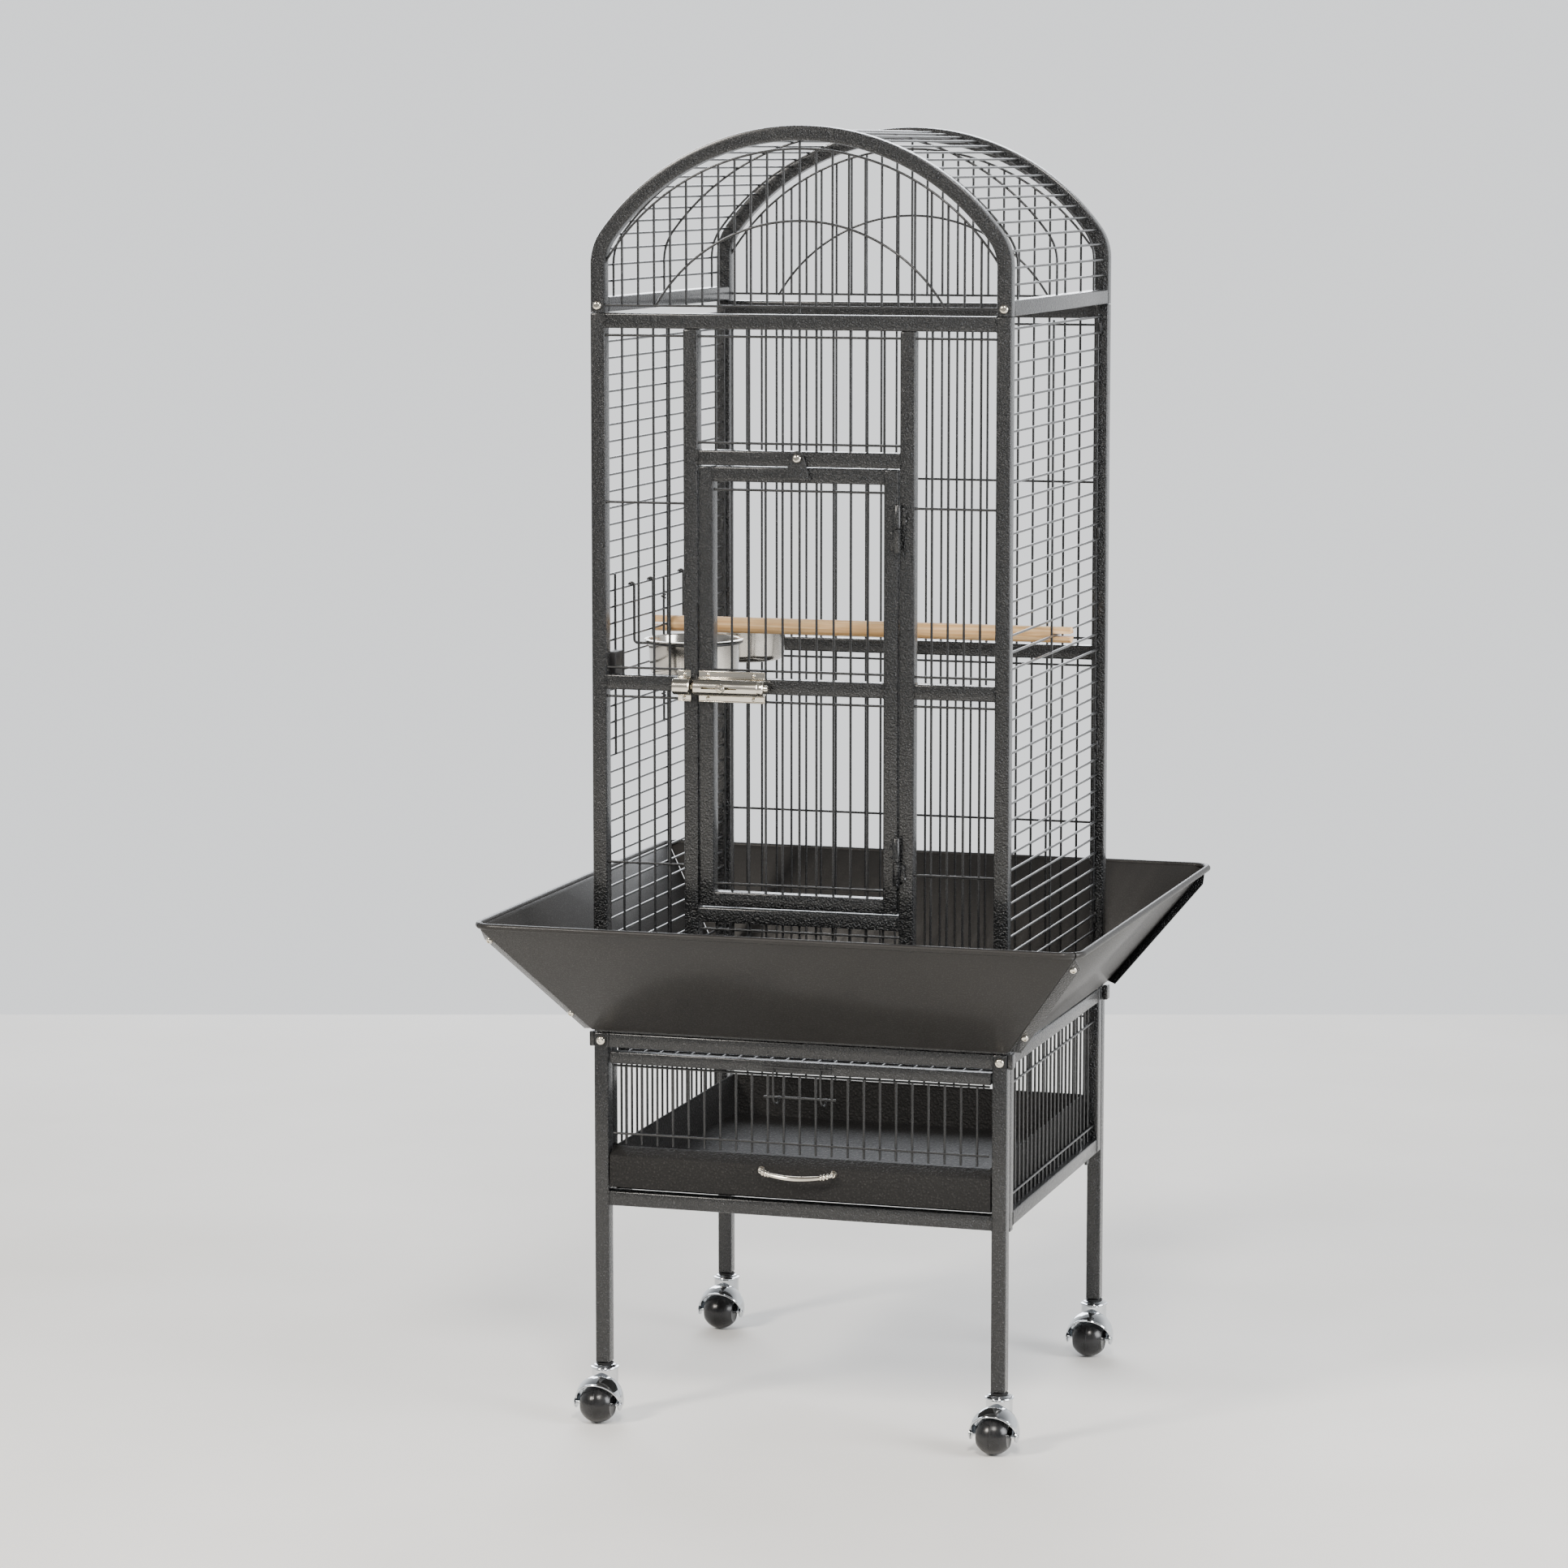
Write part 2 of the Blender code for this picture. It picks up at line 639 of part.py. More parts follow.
def guard_panel(name, turn, half_low, half_high, out_low, out_high, low_z, high_z, flanged):
    """One sloping sheet with a folded rim. The front and back sheets carry the corner flanges."""
    run, rise = out_high - out_low, high_z - low_z
    slope = math.hypot(run, rise)
    outward, upward = run / slope, rise / slope
    mitre = Vector((half_high - half_low, slope)).normalized()
    beside = Vector((mitre.y, -mitre.x))
    length = math.hypot(half_high - half_low, slope)

    def place(s, t, n):
        """s along the edge, t up the slope and n off its outer side."""
        out = out_low + t * outward + n * upward
        z = low_z + t * upward - n * outward
        x, y = s, -out
        for _ in range(turn):
            x, y = -y, x
        return (x, y, z)

    start = Vector((half_low, 0.0))
    trim = 0.0 if flanged else 0.0013
    if flanged:
        right = [start, start + mitre * 0.004 + beside * 0.0135,
                 start + mitre * (length - 0.024) + beside * 0.0135, start + mitre * (length - 0.012),
                 start + mitre * length]
    else:
        right = [start - Vector((trim, 0.0)), start + mitre * length - Vector((trim, 0.0))]
    outline = [tuple(p) for p in right] + [(-p.x, p.y) for p in reversed(right)]
    sheet = prism(name, outline, 0.0, SHEET, place, sheet_coat())
    boolean(sheet, guard_rim("guide_rim_" + name, place, half_high, slope, trim), "UNION")


def guard_rim(name, place, half_high, slope, trim):
    """The rolled hem along the upper edge, mitred at both ends."""
    radius = 0.0032
    centre_t, centre_n = slope + 0.0008, radius - 0.0006
    share = 0.62            # how fast the rim widens up the slope
    bm = bmesh.new()
    rings = []
    for sign in (-1, 1):
        ring = []
        for side, up in round_section(radius, 8):
            t, n = centre_t + side, centre_n + up
            s = sign * (half_high - trim - 0.0016 + (t - slope) * share)
            ring.append(bm.verts.new(place(s, t, n)))
        rings.append(ring)
    for i in range(8):
        j = (i + 1) % 8
        bm.faces.new((rings[0][i], rings[0][j], rings[1][j], rings[1][i]))
    bm.faces.new(rings[0])
    bm.faces.new(rings[1])
    return finish(name, bm, sheet_coat(), 60)


# Hinges, bolt and lock tab

def door_hinges():
    """Two weld-on barrel hinges. The upper one stands the other way up, so the door cannot lift off."""
    pin_r, bore_r = 0.0018, 0.0021
    for name, middle in HINGE_HEIGHTS.items():
        way = -1 if name == "upper" else 1
        reach = HINGE_LENGTH / 2
        centre = (HINGE_X, HINGE_Y, 0.0)
        pin = [(0.0, -reach), (HINGE_R, -reach), (HINGE_R, -GAP), (pin_r, -GAP), (pin_r, reach - 0.0035),
               (0.0, reach - 0.0035)]
        pin = [(r, middle + way * z) for r, z in pin]
        cage_half = turned("hinge_" + name + "_pin_half", pin, centre, "Z", 12, hammertone(), False)
        tab_low, tab_high = sorted((middle - way * (reach - 0.004), middle - way * 0.004))
        tab = box_piece("guide_tab_pin_" + name, (HINGE_X + 0.0020, HINGE_Y + 0.0005, tab_low),
                        (HINGE_X + 0.0110, -DEPTH / 2 - GAP, tab_high), hammertone())
        boolean(cage_half, tab, "UNION")
        socket = [(bore_r, GAP), (HINGE_R, GAP), (HINGE_R, reach), (0.0, reach), (0.0, reach - 0.0025),
                  (bore_r, reach - 0.0025)]
        socket = [(r, middle + way * z) for r, z in socket]
        door_half = turned("hinge_" + name + "_door_half", socket, centre, "Z", 12, hammertone(), True)
        tab_low, tab_high = sorted((middle + way * 0.004, middle + way * (reach - 0.004)))
        tab = box_piece("guide_tab_door_" + name, (HINGE_X - 0.0110, HINGE_Y + 0.0005, tab_low),
                        (HINGE_X - 0.0028, -DEPTH / 2 - GAP, tab_high), hammertone())
        boolean(door_half, tab, "UNION")


BOLT_Z = 0.8034
BOLT_Y = -0.2348
BOLT_R = 0.0088
ROD_R = 0.0036
KEEPER_X = (-0.1340, -0.1152)
BARREL_X = (-0.1108, -0.0335)
PLATE_Z = (0.7868, 0.8200)


def slide_bolt():
    """Barrel bolt: a plate with a barrel on the door, its rod, and the keeper on the cage."""
    bolt_housing("bolt_body", BARREL_X)
    bolt_housing("bolt_keeper", KEEPER_X)
    left, right = KEEPER_X[1] + 0.0006, BARREL_X[1] + 0.0040
    profile = [(0.0, left), (ROD_R, left), (ROD_R, right), (0.0, right)]
    rod = turned("bolt_rod", profile, (0.0, BOLT_Y, BOLT_Z), "X", 12, bright_nickel(), False)
    knob = [(0.0, 0.0), (0.0024, 0.0), (0.0024, -0.0062), (0.0049, -0.0064), (0.0049, -0.0090), (0.0, -0.0102)]
    grip = turned("guide_bolt_knob", knob, (-0.0793, BOLT_Y - 0.0030, BOLT_Z), "Y", 12, bright_nickel(), False)
    boolean(rod, grip, "UNION")


def bolt_housing(name, ends):
    """Plate with a raised barrel, bored for the rod. The body has the knob's slot."""
    low, high = ends
    plate = box_piece(name, (low, -DEPTH / 2 - GAP - 0.0012, PLATE_Z[0]),
                      (high, -DEPTH / 2 - GAP, PLATE_Z[1]), bright_nickel())
    barrel = turned("guide_barrel_" + name, [(0.0, low + 0.0001), (BOLT_R, low + 0.0001),
                                             (BOLT_R, high - 0.0001), (0.0, high - 0.0001)],
                    (0.0, BOLT_Y, BOLT_Z), "X", 14, bright_nickel(), False)
    boolean(plate, barrel, "UNION")
    bore = turned("guide_bore_" + name, [(0.0, low - 0.002), (ROD_R + 0.0006, low - 0.002),
                                         (ROD_R + 0.0006, high + 0.002), (0.0, high + 0.002)],
                  (0.0, BOLT_Y, BOLT_Z), "X", 12, bright_nickel(), False)
    boolean(plate, bore, "DIFFERENCE")
    if name == "bolt_body":
        slot = box_piece("guide_slot", (-0.1010, BOLT_Y - 0.0120, BOLT_Z - 0.0030),
                         (-0.0620, BOLT_Y - 0.0010, BOLT_Z + 0.0030), bright_nickel())
        boolean(plate, slot, "DIFFERENCE")


def lock_tab():
    """Bell-shaped tab that hangs from its bolt in the header, over the door's top rail."""
    centre_z = 1.0455
    outline = [(-0.0150, 1.0232), (0.0150, 1.0232), (0.0150, 1.0262), (0.0122, 1.0285),
               (0.0095, 1.0395), (0.0068, 1.0490)]
    crown = [(0.0068 * math.cos(math.radians(a)), 1.0490 + 0.0045 * math.sin(math.radians(a)))
             for a in (30, 60, 90, 120, 150)]
    points = outline + crown + [(-x, z) for x, z in reversed(outline[2:])]
    tab = prism("lock_tab", points, -0.2285, -0.2269, lambda u, v, w: (u, w, v), hammertone())
    hole = turned("guide_tab_hole", [(0.0, -0.226), (0.0029, -0.226), (0.0029, -0.2295), (0.0, -0.2295)],
                  (0.0, 0.0, centre_z), "Y", 10, hammertone(), False)
    boolean(tab, hole, "DIFFERENCE")
    face = -DEPTH / 2 - GAP
    profile = [(0.0, face), (0.0040, face), (0.0040, -0.2266), (0.0025, -0.2266), (0.0025, -0.2289),
               (0.0047, -0.2289), (0.0047, -0.2300), (0.0034, -0.2316), (0.0, -0.2322)]
    turned("lock_tab_bolt", profile, (0.0, 0.0, centre_z), "Y", 10, bright_nickel(), False)


def feeder_latch():
    """Turn knob outside the left panel, with its backing block inside."""
    z = PERCH_Z - 1.5 * PITCH
    outside = -POST_X - R - 0.0006
    centre = (0.0, KNOB_Y, z)
    profile = [(0.0, outside), (0.0095, outside), (0.0095, outside - 0.0030), (0.0060, outside - 0.0036),
               (0.0055, outside - 0.0060), (0.0, outside - 0.0060)]
    knob = turned("feeder_latch_knob", profile, centre, "X", 14, black_plastic(), False)
    tongue = box_piece("guide_tongue", (outside - 0.0029, KNOB_Y, z - 0.0050),
                       (outside - 0.0001, KNOB_Y + 0.0260, z + 0.0050), black_plastic())
    boolean(knob, tongue, "UNION")
    grip = box_piece("guide_grip", (outside - 0.0135, KNOB_Y - 0.0085, z - 0.0025),
                     (outside - 0.0050, KNOB_Y + 0.0085, z + 0.0025), black_plastic())
    boolean(knob, grip, "UNION")
    inside = -POST_X + R + 0.0006
    box_piece("feeder_latch_block", (inside, -INNER_Y + 0.0006, z - 0.0165),
              (inside + 0.0110, -0.1790, z + 0.0165), black_plastic())


# Cups, rings and perch

def cup(name, y):
    """Deep-drawn cup that rests in its ring by the rim."""
    rim, wall, lip = 0.0543, 0.0497, 0.0018
    profile = [(0.0, -0.0400), (0.0330, -0.0400), (0.0440, -0.0350), (0.0485, -0.0250), (wall, -lip),
               (rim, -lip), (rim, 0.0), (wall - 0.0011, 0.0), (0.0474, -0.0245), (0.0430, -0.0338),
               (0.0322, -0.0389), (0.0, -0.0389)]
    turned(name, profile, (CUP_X, y, CUP_RIM), "Z", 24, stainless(), True, 40)


def cup_ring(name, y):
    """Wire ring with two hooks over the side wires."""
    radius = 0.0497 + R + 0.0009
    z = CUP_RIM - 0.0018 - R - 0.0004
    section = round_section(R, 6)
    path = [(CUP_X + radius * math.cos(2 * math.pi * i / 24), y + radius * math.sin(2 * math.pi * i / 24), z)
            for i in range(24)]
    ring = sweep(name, path, section, hammertone(), closed=True, smooth_angle=70)
    reach = 0.0330
    start = CUP_X - math.sqrt(radius ** 2 - reach ** 2)
    hook = WIRE + 0.0003
    wire_x = -POST_X
    top = PERCH_Z + 3 * PITCH
    for side, sign in (("a", -1), ("b", 1)):
        run = [(start + 0.0006, z), (wire_x + hook + 0.004, z), (wire_x + hook, z + 0.004), (wire_x + hook, top),
               (wire_x + hook * 0.7, top + hook * 0.7), (wire_x, top + hook), (wire_x - hook * 0.7, top + hook * 0.7),
               (wire_x - hook, top), (wire_x - hook, top - 0.0035)]
        points = [(x, y + sign * reach, height) for x, height in run]
        arm = sweep("guide_" + name + "_" + side, points, section, hammertone(), smooth_angle=70)
        boolean(ring, arm, "UNION")


def perch():
    """Pine dowel. The slots in its ends straddle a side wire each."""
    profile = [(0.0, -PERCH_END), (PERCH_R, -PERCH_END), (PERCH_R, PERCH_END), (0.0, PERCH_END)]
    dowel = turned("perch", profile, (0.0, PERCH_Y, PERCH_Z), "X", 16, pine(), False)
    slot = R + 0.0005
    for side, sign in (("left", -1), ("right", 1)):
        near, far = sorted((sign * (POST_X - 0.0035), sign * (PERCH_END + 0.002)))
        cutter = box_piece("guide_perch_" + side, (near, PERCH_Y - 0.012, PERCH_Z - slot),
                           (far, PERCH_Y + 0.012, PERCH_Z + slot), pine())
        boolean(dowel, cutter, "DIFFERENCE")


# Tray, grate and gate

TRAY_X = 0.2090
TRAY_LOW = 0.2530


def tray():
    """Sheet tray with a taller front, bevelled back along its upper edge."""
    front, back, top = -DEPTH / 2 + 0.0003, 0.2050, 0.3000
    bm = bmesh.new()
    box(bm, (-TRAY_X, front + 0.014, TRAY_LOW), (TRAY_X, back, top))
    body = finish("debris_tray", bm, sheet_coat())
    wall = 0.0015
    hollow = box_piece("guide_tray_hollow", (-TRAY_X + wall, front + 0.0155, TRAY_LOW + wall),
                       (TRAY_X - wall, back - wall, top + 0.01), sheet_coat())
    boolean(body, hollow, "DIFFERENCE")
    half = INNER_X - 0.0012
    outline = [(front, 0.2575), (front + 0.0148, 0.2575), (front + 0.0148, top), (front + 0.0138, top),
               (front, 0.2915)]
    face = prism("guide_tray_face", outline, -half, half, lambda u, v, w: (w, u, v), sheet_coat())
    boolean(body, face, "UNION")


def tray_handle():
    """Bow pull on two feet."""
    reach, foot_y, z = 0.0400, -DEPTH / 2, 0.2865
    bow = []
    for i in range(11):
        t = i / 10 * 2 - 1
        bow.append((t * reach, foot_y - 0.0150 + 0.0062 * t * t, z - 0.004 * (1 - t * t)))
    path = [(-reach, foot_y - GAP, z), (-reach, foot_y - 0.0060, z)] + bow[1:-1]
    path += [(reach, foot_y - 0.0060, z), (reach, foot_y - GAP, z)]
    sweep("tray_handle", path, round_section(0.0024, 8), bright_nickel(), smooth_angle=70)


def floor_grate():
    """Pull-out floor grate: wires front to back, a cross wire behind, and a tube along the front."""
    half = 0.0064
    y_bar = -DEPTH / 2 + 0.0015 + half
    bar = box_piece("floor_grate", (-INNER_X + 0.0015, y_bar - half, 0.3922),
                    (INNER_X - 0.0015, y_bar + half, 0.3922 + 2 * half), hammertone())
    wires = evenly(-INNER_X, INNER_X, 23)
    level = 0.3922 + 2 * half - R - 0.0004
    rows = [(y, -0.2075, 0.2075) for y in (-0.1950, 0.1900)]
    columns = [(x, y_bar + half - 0.0008, 0.1900) for x in wires]
    mesh = grid_piece("guide_grate", columns, rows, lambda a, b, n: (a, b, level + n), R, hammertone())
    boolean(bar, mesh, "UNION")


def front_gate():
    """Wire gate that hangs under the grate's front tube."""
    z_top, z_low, tip = 0.3892, 0.3155, 0.3035
    columns = [(x, tip, z_top) for x in evenly(-INNER_X, INNER_X, 23)]
    rows = [(z, -INNER_X + 0.0040, INNER_X - 0.0040) for z in (z_low, z_top)]
    rows.append((0.3650, -0.0400, 0.0400))
    grid_piece("front_gate", columns, rows, facing_y(-DEPTH / 2 + 0.0079), R, hammertone())


def gate_latch():
    """Two hooks on a cross wire in front of the grate's tube. They hold the gate's short wire."""
    y, z = -0.2263, 0.3985
    section = round_section(R * 0.9, 6)
    cross = sweep("gate_latch", [(-0.0380, y, z), (0.0380, y, z)], section, hammertone(), smooth_angle=70)
    for side, x in (("a", -0.0272), ("b", 0.0252)):
        run = [(y, z + 0.001), (y, 0.3640), (y + 0.0030, 0.3595), (y + 0.0092, 0.3575), (y + 0.0135, 0.3600),
               (y + 0.0145, 0.3655)]
        points = [(x + 0.0030 * i / 5, p, q) for i, (p, q) in enumerate(run)]
        hook = sweep("guide_latch_hook_" + side, points, section, hammertone(), smooth_angle=70)
        boolean(cross, hook, "UNION")


# Casters

def casters():
    for end, sign_y in (("front", -1), ("back", 1)):
        for side, sign_x in (("left", -1), ("right", 1)):
            x, y = sign_x * CASTER_X, sign_y * CASTER_Y
            tag = end + "_" + side
            caster_socket("caster_socket_" + tag, x, y)
            caster_hood("caster_hood_" + tag, x, y)
            caster_ball("caster_ball_" + tag, x, y + BALL_BACK)


def caster_socket(name, x, y):
    """Plug under the leg that the caster's stem turns in."""
    top = LEG_LOW - GAP
    profile = [(0.0030, top - 0.0075), (0.0075, top - 0.0075), (0.0088, top - 0.0020), (0.0088, top),
               (0.0, top), (0.0, top - 0.0045), (0.0030, top - 0.0045)]
    turned(name, profile, (x, y, 0.0), "Z", 12, black_plastic(), True)


def caster_hood(name, x, y):
    """Chromed hood over the ball, with its stem and the axle."""
    centre = Vector((x, y + BALL_BACK, BALL_R))
    inner, outer = BALL_R + 0.0011, BALL_R + 0.0024
    bm = bmesh.new()
    start, end, steps = math.radians(-20), math.radians(118), 7
    across = [math.radians(a) for a in (-66, -44, -22, 0, 22, 44, 66)]
    rings = []
    for i in range(steps + 1):
        roll = start + (end - start) * i / steps
        ring = []
        for radius, order in ((inner, across), (outer, across[::-1])):
            for a in order:
                out = radius * math.cos(a)
                ring.append(bm.verts.new(centre + Vector((radius * math.sin(a), out * math.cos(roll),
                                                          out * math.sin(roll)))))
        rings.append(ring)
    size = len(rings[0])
    for ring, following in zip(rings, rings[1:]):
        for k in range(size):
            m = (k + 1) % size
            bm.faces.new((ring[k], ring[m], following[m], following[k]))
    bm.faces.new(rings[0])
    bm.faces.new(rings[-1])
    hood = finish(name, bm, bright_nickel(), 50)
    stem = turned("guide_stem_" + name, [(0.0, 0.0400), (0.0100, 0.0400), (0.0105, 0.0500), (0.0078, 0.0515),
                                         (0.0078, 0.0540), (0.0024, 0.0540), (0.0024, 0.0570), (0.0, 0.0570)],
                  (x, y, 0.0), "Z", 12, bright_nickel(), False)
    boolean(hood, stem, "UNION")
    neck = box_piece("guide_neck_" + name, (x - 0.0070, y - 0.0140, 0.0365), (x + 0.0070, y + 0.0010, 0.0440),
                     bright_nickel())
    clear_ball = turned("guide_clear_" + name, sphere_profile(inner + 0.0003, 8), tuple(centre), "X", 16,
                        bright_nickel(), False)
    boolean(neck, clear_ball, "DIFFERENCE")
    boolean(hood, neck, "UNION")
    for side, sign in (("a", -1), ("b", 1)):
        arm = axle_arm("guide_arm_" + side + "_" + name, centre, sign)
        boolean(hood, arm, "UNION")
    axle = turned("guide_axle_" + name, [(0.0, -BALL_R + 0.0002), (0.0020, -BALL_R + 0.0002),
                                         (0.0020, BALL_R - 0.0002), (0.0, BALL_R - 0.0002)],
                  tuple(centre), "X", 8, bright_nickel(), False)
    boolean(hood, axle, "UNION")


def axle_arm(name, centre, sign):
    """Side ear that joins the hood to the axle."""
    near, far = BALL_R * 0.86, BALL_R + 0.0004
    low_x, high_x = sorted((centre.x + sign * near, centre.x + sign * far))
    return box_piece(name, (low_x, centre.y - 0.0035, centre.z - 0.0035),
                     (high_x, centre.y + 0.0105, centre.z + 0.0075), bright_nickel())


def sphere_profile(radius, steps):
    return [(radius * math.sin(math.pi * i / steps), -radius * math.cos(math.pi * i / steps))
            for i in range(steps + 1)]


def caster_ball(name, x, y):
    """Ball with flats at its poles and a bore for the axle."""
    bore, flat = 0.0025, BALL_R * 0.80
    edge = math.acos(flat / BALL_R)
    steps = 8
    profile = []
    for i in range(steps + 1):
        angle = edge + (math.pi - 2 * edge) * i / steps
        profile.append((BALL_R * math.sin(angle), -BALL_R * math.cos(angle)))
    profile.append((bore, flat))
    profile.append((bore, -flat))
    turned(name, profile, (x, y, BALL_R), "X", 16, black_plastic(), True, 40)


def build():
    clear_scene()
    front_panel_frame()
    front_panel_wires()
    back_panel()
    left_side_panel()
    right_side_panel()
    feeder_door()
    main_door()
    stand_frames()
    stand_side_grilles()
    stand_back_wires()
    gable("dome_front_gable", -1)
    gable("dome_back_gable", 1)
    roof_panel()
    dome_bolts()
    guard_panels()
    door_hinges()
    slide_bolt()
    lock_tab()
    feeder_latch()
    for place, y in CUP_Y.items():
        cup("cup_" + place, y)
        cup_ring("cup_ring_" + place, y)
    perch()
    tray()
    tray_handle()
    floor_grate()
    front_gate()
    gate_latch()
    casters()


build()
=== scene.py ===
import math
import random

import bpy
from mathutils import Matrix, Vector


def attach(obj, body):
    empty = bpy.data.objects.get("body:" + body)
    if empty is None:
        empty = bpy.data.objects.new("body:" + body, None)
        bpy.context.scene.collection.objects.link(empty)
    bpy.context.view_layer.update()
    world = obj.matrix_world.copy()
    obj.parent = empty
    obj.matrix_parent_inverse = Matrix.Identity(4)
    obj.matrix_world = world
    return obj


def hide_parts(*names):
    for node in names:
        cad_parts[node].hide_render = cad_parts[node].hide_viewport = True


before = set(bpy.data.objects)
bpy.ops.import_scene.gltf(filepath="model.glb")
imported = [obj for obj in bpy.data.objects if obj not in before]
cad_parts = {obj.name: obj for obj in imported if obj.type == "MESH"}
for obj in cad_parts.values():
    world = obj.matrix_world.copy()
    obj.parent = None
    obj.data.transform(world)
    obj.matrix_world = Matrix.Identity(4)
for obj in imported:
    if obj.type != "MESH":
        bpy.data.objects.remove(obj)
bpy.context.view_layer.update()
random.seed(7)
print("cad frame loaded")

# sizes shared by most pieces, in metres
cage = {
    "postX": 0.22065, "postY": 0.21705, "half": 0.00795, "innerX": 0.2127, "innerY": 0.2091,
    "tubeEdge": 0.0017, "wire": 0.00131, "wireY": 0.2185, "pitch": 0.0177, "bead": 0.0017,
    "low": 0.4258, "high": 1.1945, "midRail": 0.8045, "header": 1.0445, "sill": 0.5590,
    "mullion": 0.11815, "perchZ": 0.8447,
}
half = cage["half"]
wire = cage["wire"]
crossing = 2 * wire - 0.0002    # welded wires lie on each other and bite in a little


# ---- working tools

def focus(piece):
    bpy.ops.object.select_all(action="DESELECT")
    piece.select_set(True)
    bpy.context.view_layer.objects.active = piece


def addToScene(name, mesh):
    piece = bpy.data.objects.new(name, mesh)
    bpy.context.scene.collection.objects.link(piece)
    return piece


def applyPlace(piece):
    piece.data.transform(piece.matrix_basis)
    piece.matrix_basis = Matrix.Identity(4)
    return piece


def applySteps(piece):
    focus(piece)
    for step in list(piece.modifiers):
        bpy.ops.object.modifier_apply(modifier=step.name)


def roundEdges(piece, width, segments=2, angle=35):
    step = piece.modifiers.new("rounded edges", "BEVEL")
    step.width = width
    step.segments = segments
    step.limit_method = "ANGLE"
    step.angle_limit = math.radians(angle)
    applySteps(piece)
    return piece


def closeUp(piece):
    focus(piece)
    bpy.ops.object.mode_set(mode="EDIT")
    bpy.ops.mesh.select_all(action="SELECT")
    bpy.ops.mesh.remove_doubles(threshold=0.00001)
    bpy.ops.mesh.normals_make_consistent(inside=False)
    bpy.ops.object.mode_set(mode="OBJECT")
    return piece


def joinAll(parts):
    focus(parts[0])
    for part in parts:
        part.select_set(True)
    if len(parts) > 1:
        bpy.ops.object.join()
    return bpy.context.view_layer.objects.active


def cutBy(piece, cutter, operation="DIFFERENCE"):
    step = piece.modifiers.new("cut", "BOOLEAN")
    step.operation = operation
    step.solver = "EXACT"
    step.object = cutter
    applySteps(piece)
    bpy.data.objects.remove(cutter, do_unlink=True)
    return piece


def addBlock(low, high, edge=0.0006, segments=2):
    bpy.ops.object.select_all(action="DESELECT")
    bpy.ops.mesh.primitive_cube_add(size=1, location=[(a + b) / 2 for a, b in zip(low, high)])
    piece = bpy.context.object
    piece.scale = [abs(b - a) for a, b in zip(low, high)]
    applyPlace(piece)
    return roundEdges(piece, edge, segments) if edge else piece


def addRod(radius, start, end, sides=20, edge=0.0):
    start, end = Vector(start), Vector(end)
    bpy.ops.object.select_all(action="DESELECT")
    bpy.ops.mesh.primitive_cylinder_add(vertices=sides, radius=radius, depth=(end - start).length)
    piece = bpy.context.object
    turn = (end - start).to_track_quat("Z", "Y").to_matrix().to_4x4()
    piece.data.transform(Matrix.Translation((start + end) / 2) @ turn)
    return roundEdges(piece, edge, 2) if edge else piece


def addWires(runs, radius=wire, sides=10):
    # one straight wire is modelled, and the others are its copies
    model = addRod(radius, (0, 0, -0.5), (0, 0, 0.5), sides)
    copies = []
    for start, end in runs:
        start, end = Vector(start), Vector(end)
        along = end - start
        turn = along.to_track_quat("Z", "Y").to_matrix().to_4x4()
        copy = addToScene("wire", model.data.copy())
        stretch = Matrix.Diagonal((1, 1, along.length, 1))
        copy.data.transform(Matrix.Translation((start + end) / 2) @ turn @ stretch)
        copies.append(copy)
    bpy.data.objects.remove(model, do_unlink=True)
    return joinAll(copies)


def addBeads(points, radius=cage["bead"], flat=1.0):
    # weld drops, copies of one small ball
    bpy.ops.object.select_all(action="DESELECT")
    bpy.ops.mesh.primitive_ico_sphere_add(subdivisions=1, radius=radius)
    model = bpy.context.object
    copies = []
    for point in points:
        copy = addToScene("bead", model.data.copy())
        size = random.uniform(0.85, 1.15)
        turn = Matrix.Rotation(random.uniform(0, 6.28), 4, "Z")
        spread = Matrix.Diagonal((size, size, size * flat, 1))
        copy.data.transform(Matrix.Translation(Vector(point)) @ turn @ spread)
        copies.append(copy)
    bpy.data.objects.remove(model, do_unlink=True)
    return joinAll(copies)


def addBent(points, radius=wire, closed=False, rounding=2, taper=None):
    line = bpy.data.curves.new("bent", "CURVE")
    line.dimensions = "3D"
    run = line.splines.new("POLY")
    run.points.add(len(points) - 1)
    for i, (spot, point) in enumerate(zip(run.points, points)):
        spot.co = (*point, 1)
        spot.radius = taper(i / (len(points) - 1)) if taper else 1.0
    run.use_cyclic_u = closed
    line.bevel_depth = radius
    line.bevel_resolution = rounding
    line.use_fill_caps = True
    piece = addToScene("bent", line)
    focus(piece)
    bpy.ops.object.convert(target="MESH")
    return closeUp(bpy.context.object)


def roundCorners(points, radius, steps=5):
    # turns the corners of a wire's path into bends
    path = [Vector(points[0])]
    for before, here, after in zip(points, points[1:], points[2:]):
        before, here, after = Vector(before), Vector(here), Vector(after)
        into, out = (before - here), (after - here)
        reach = min(radius, into.length * 0.45, out.length * 0.45)
        first, last = here + into.normalized() * reach, here + out.normalized() * reach
        for i in range(steps + 1):
            t = i / steps
            path.append(first.lerp(here, t).lerp(here.lerp(last, t), t))
    path.append(Vector(points[-1]))
    return path


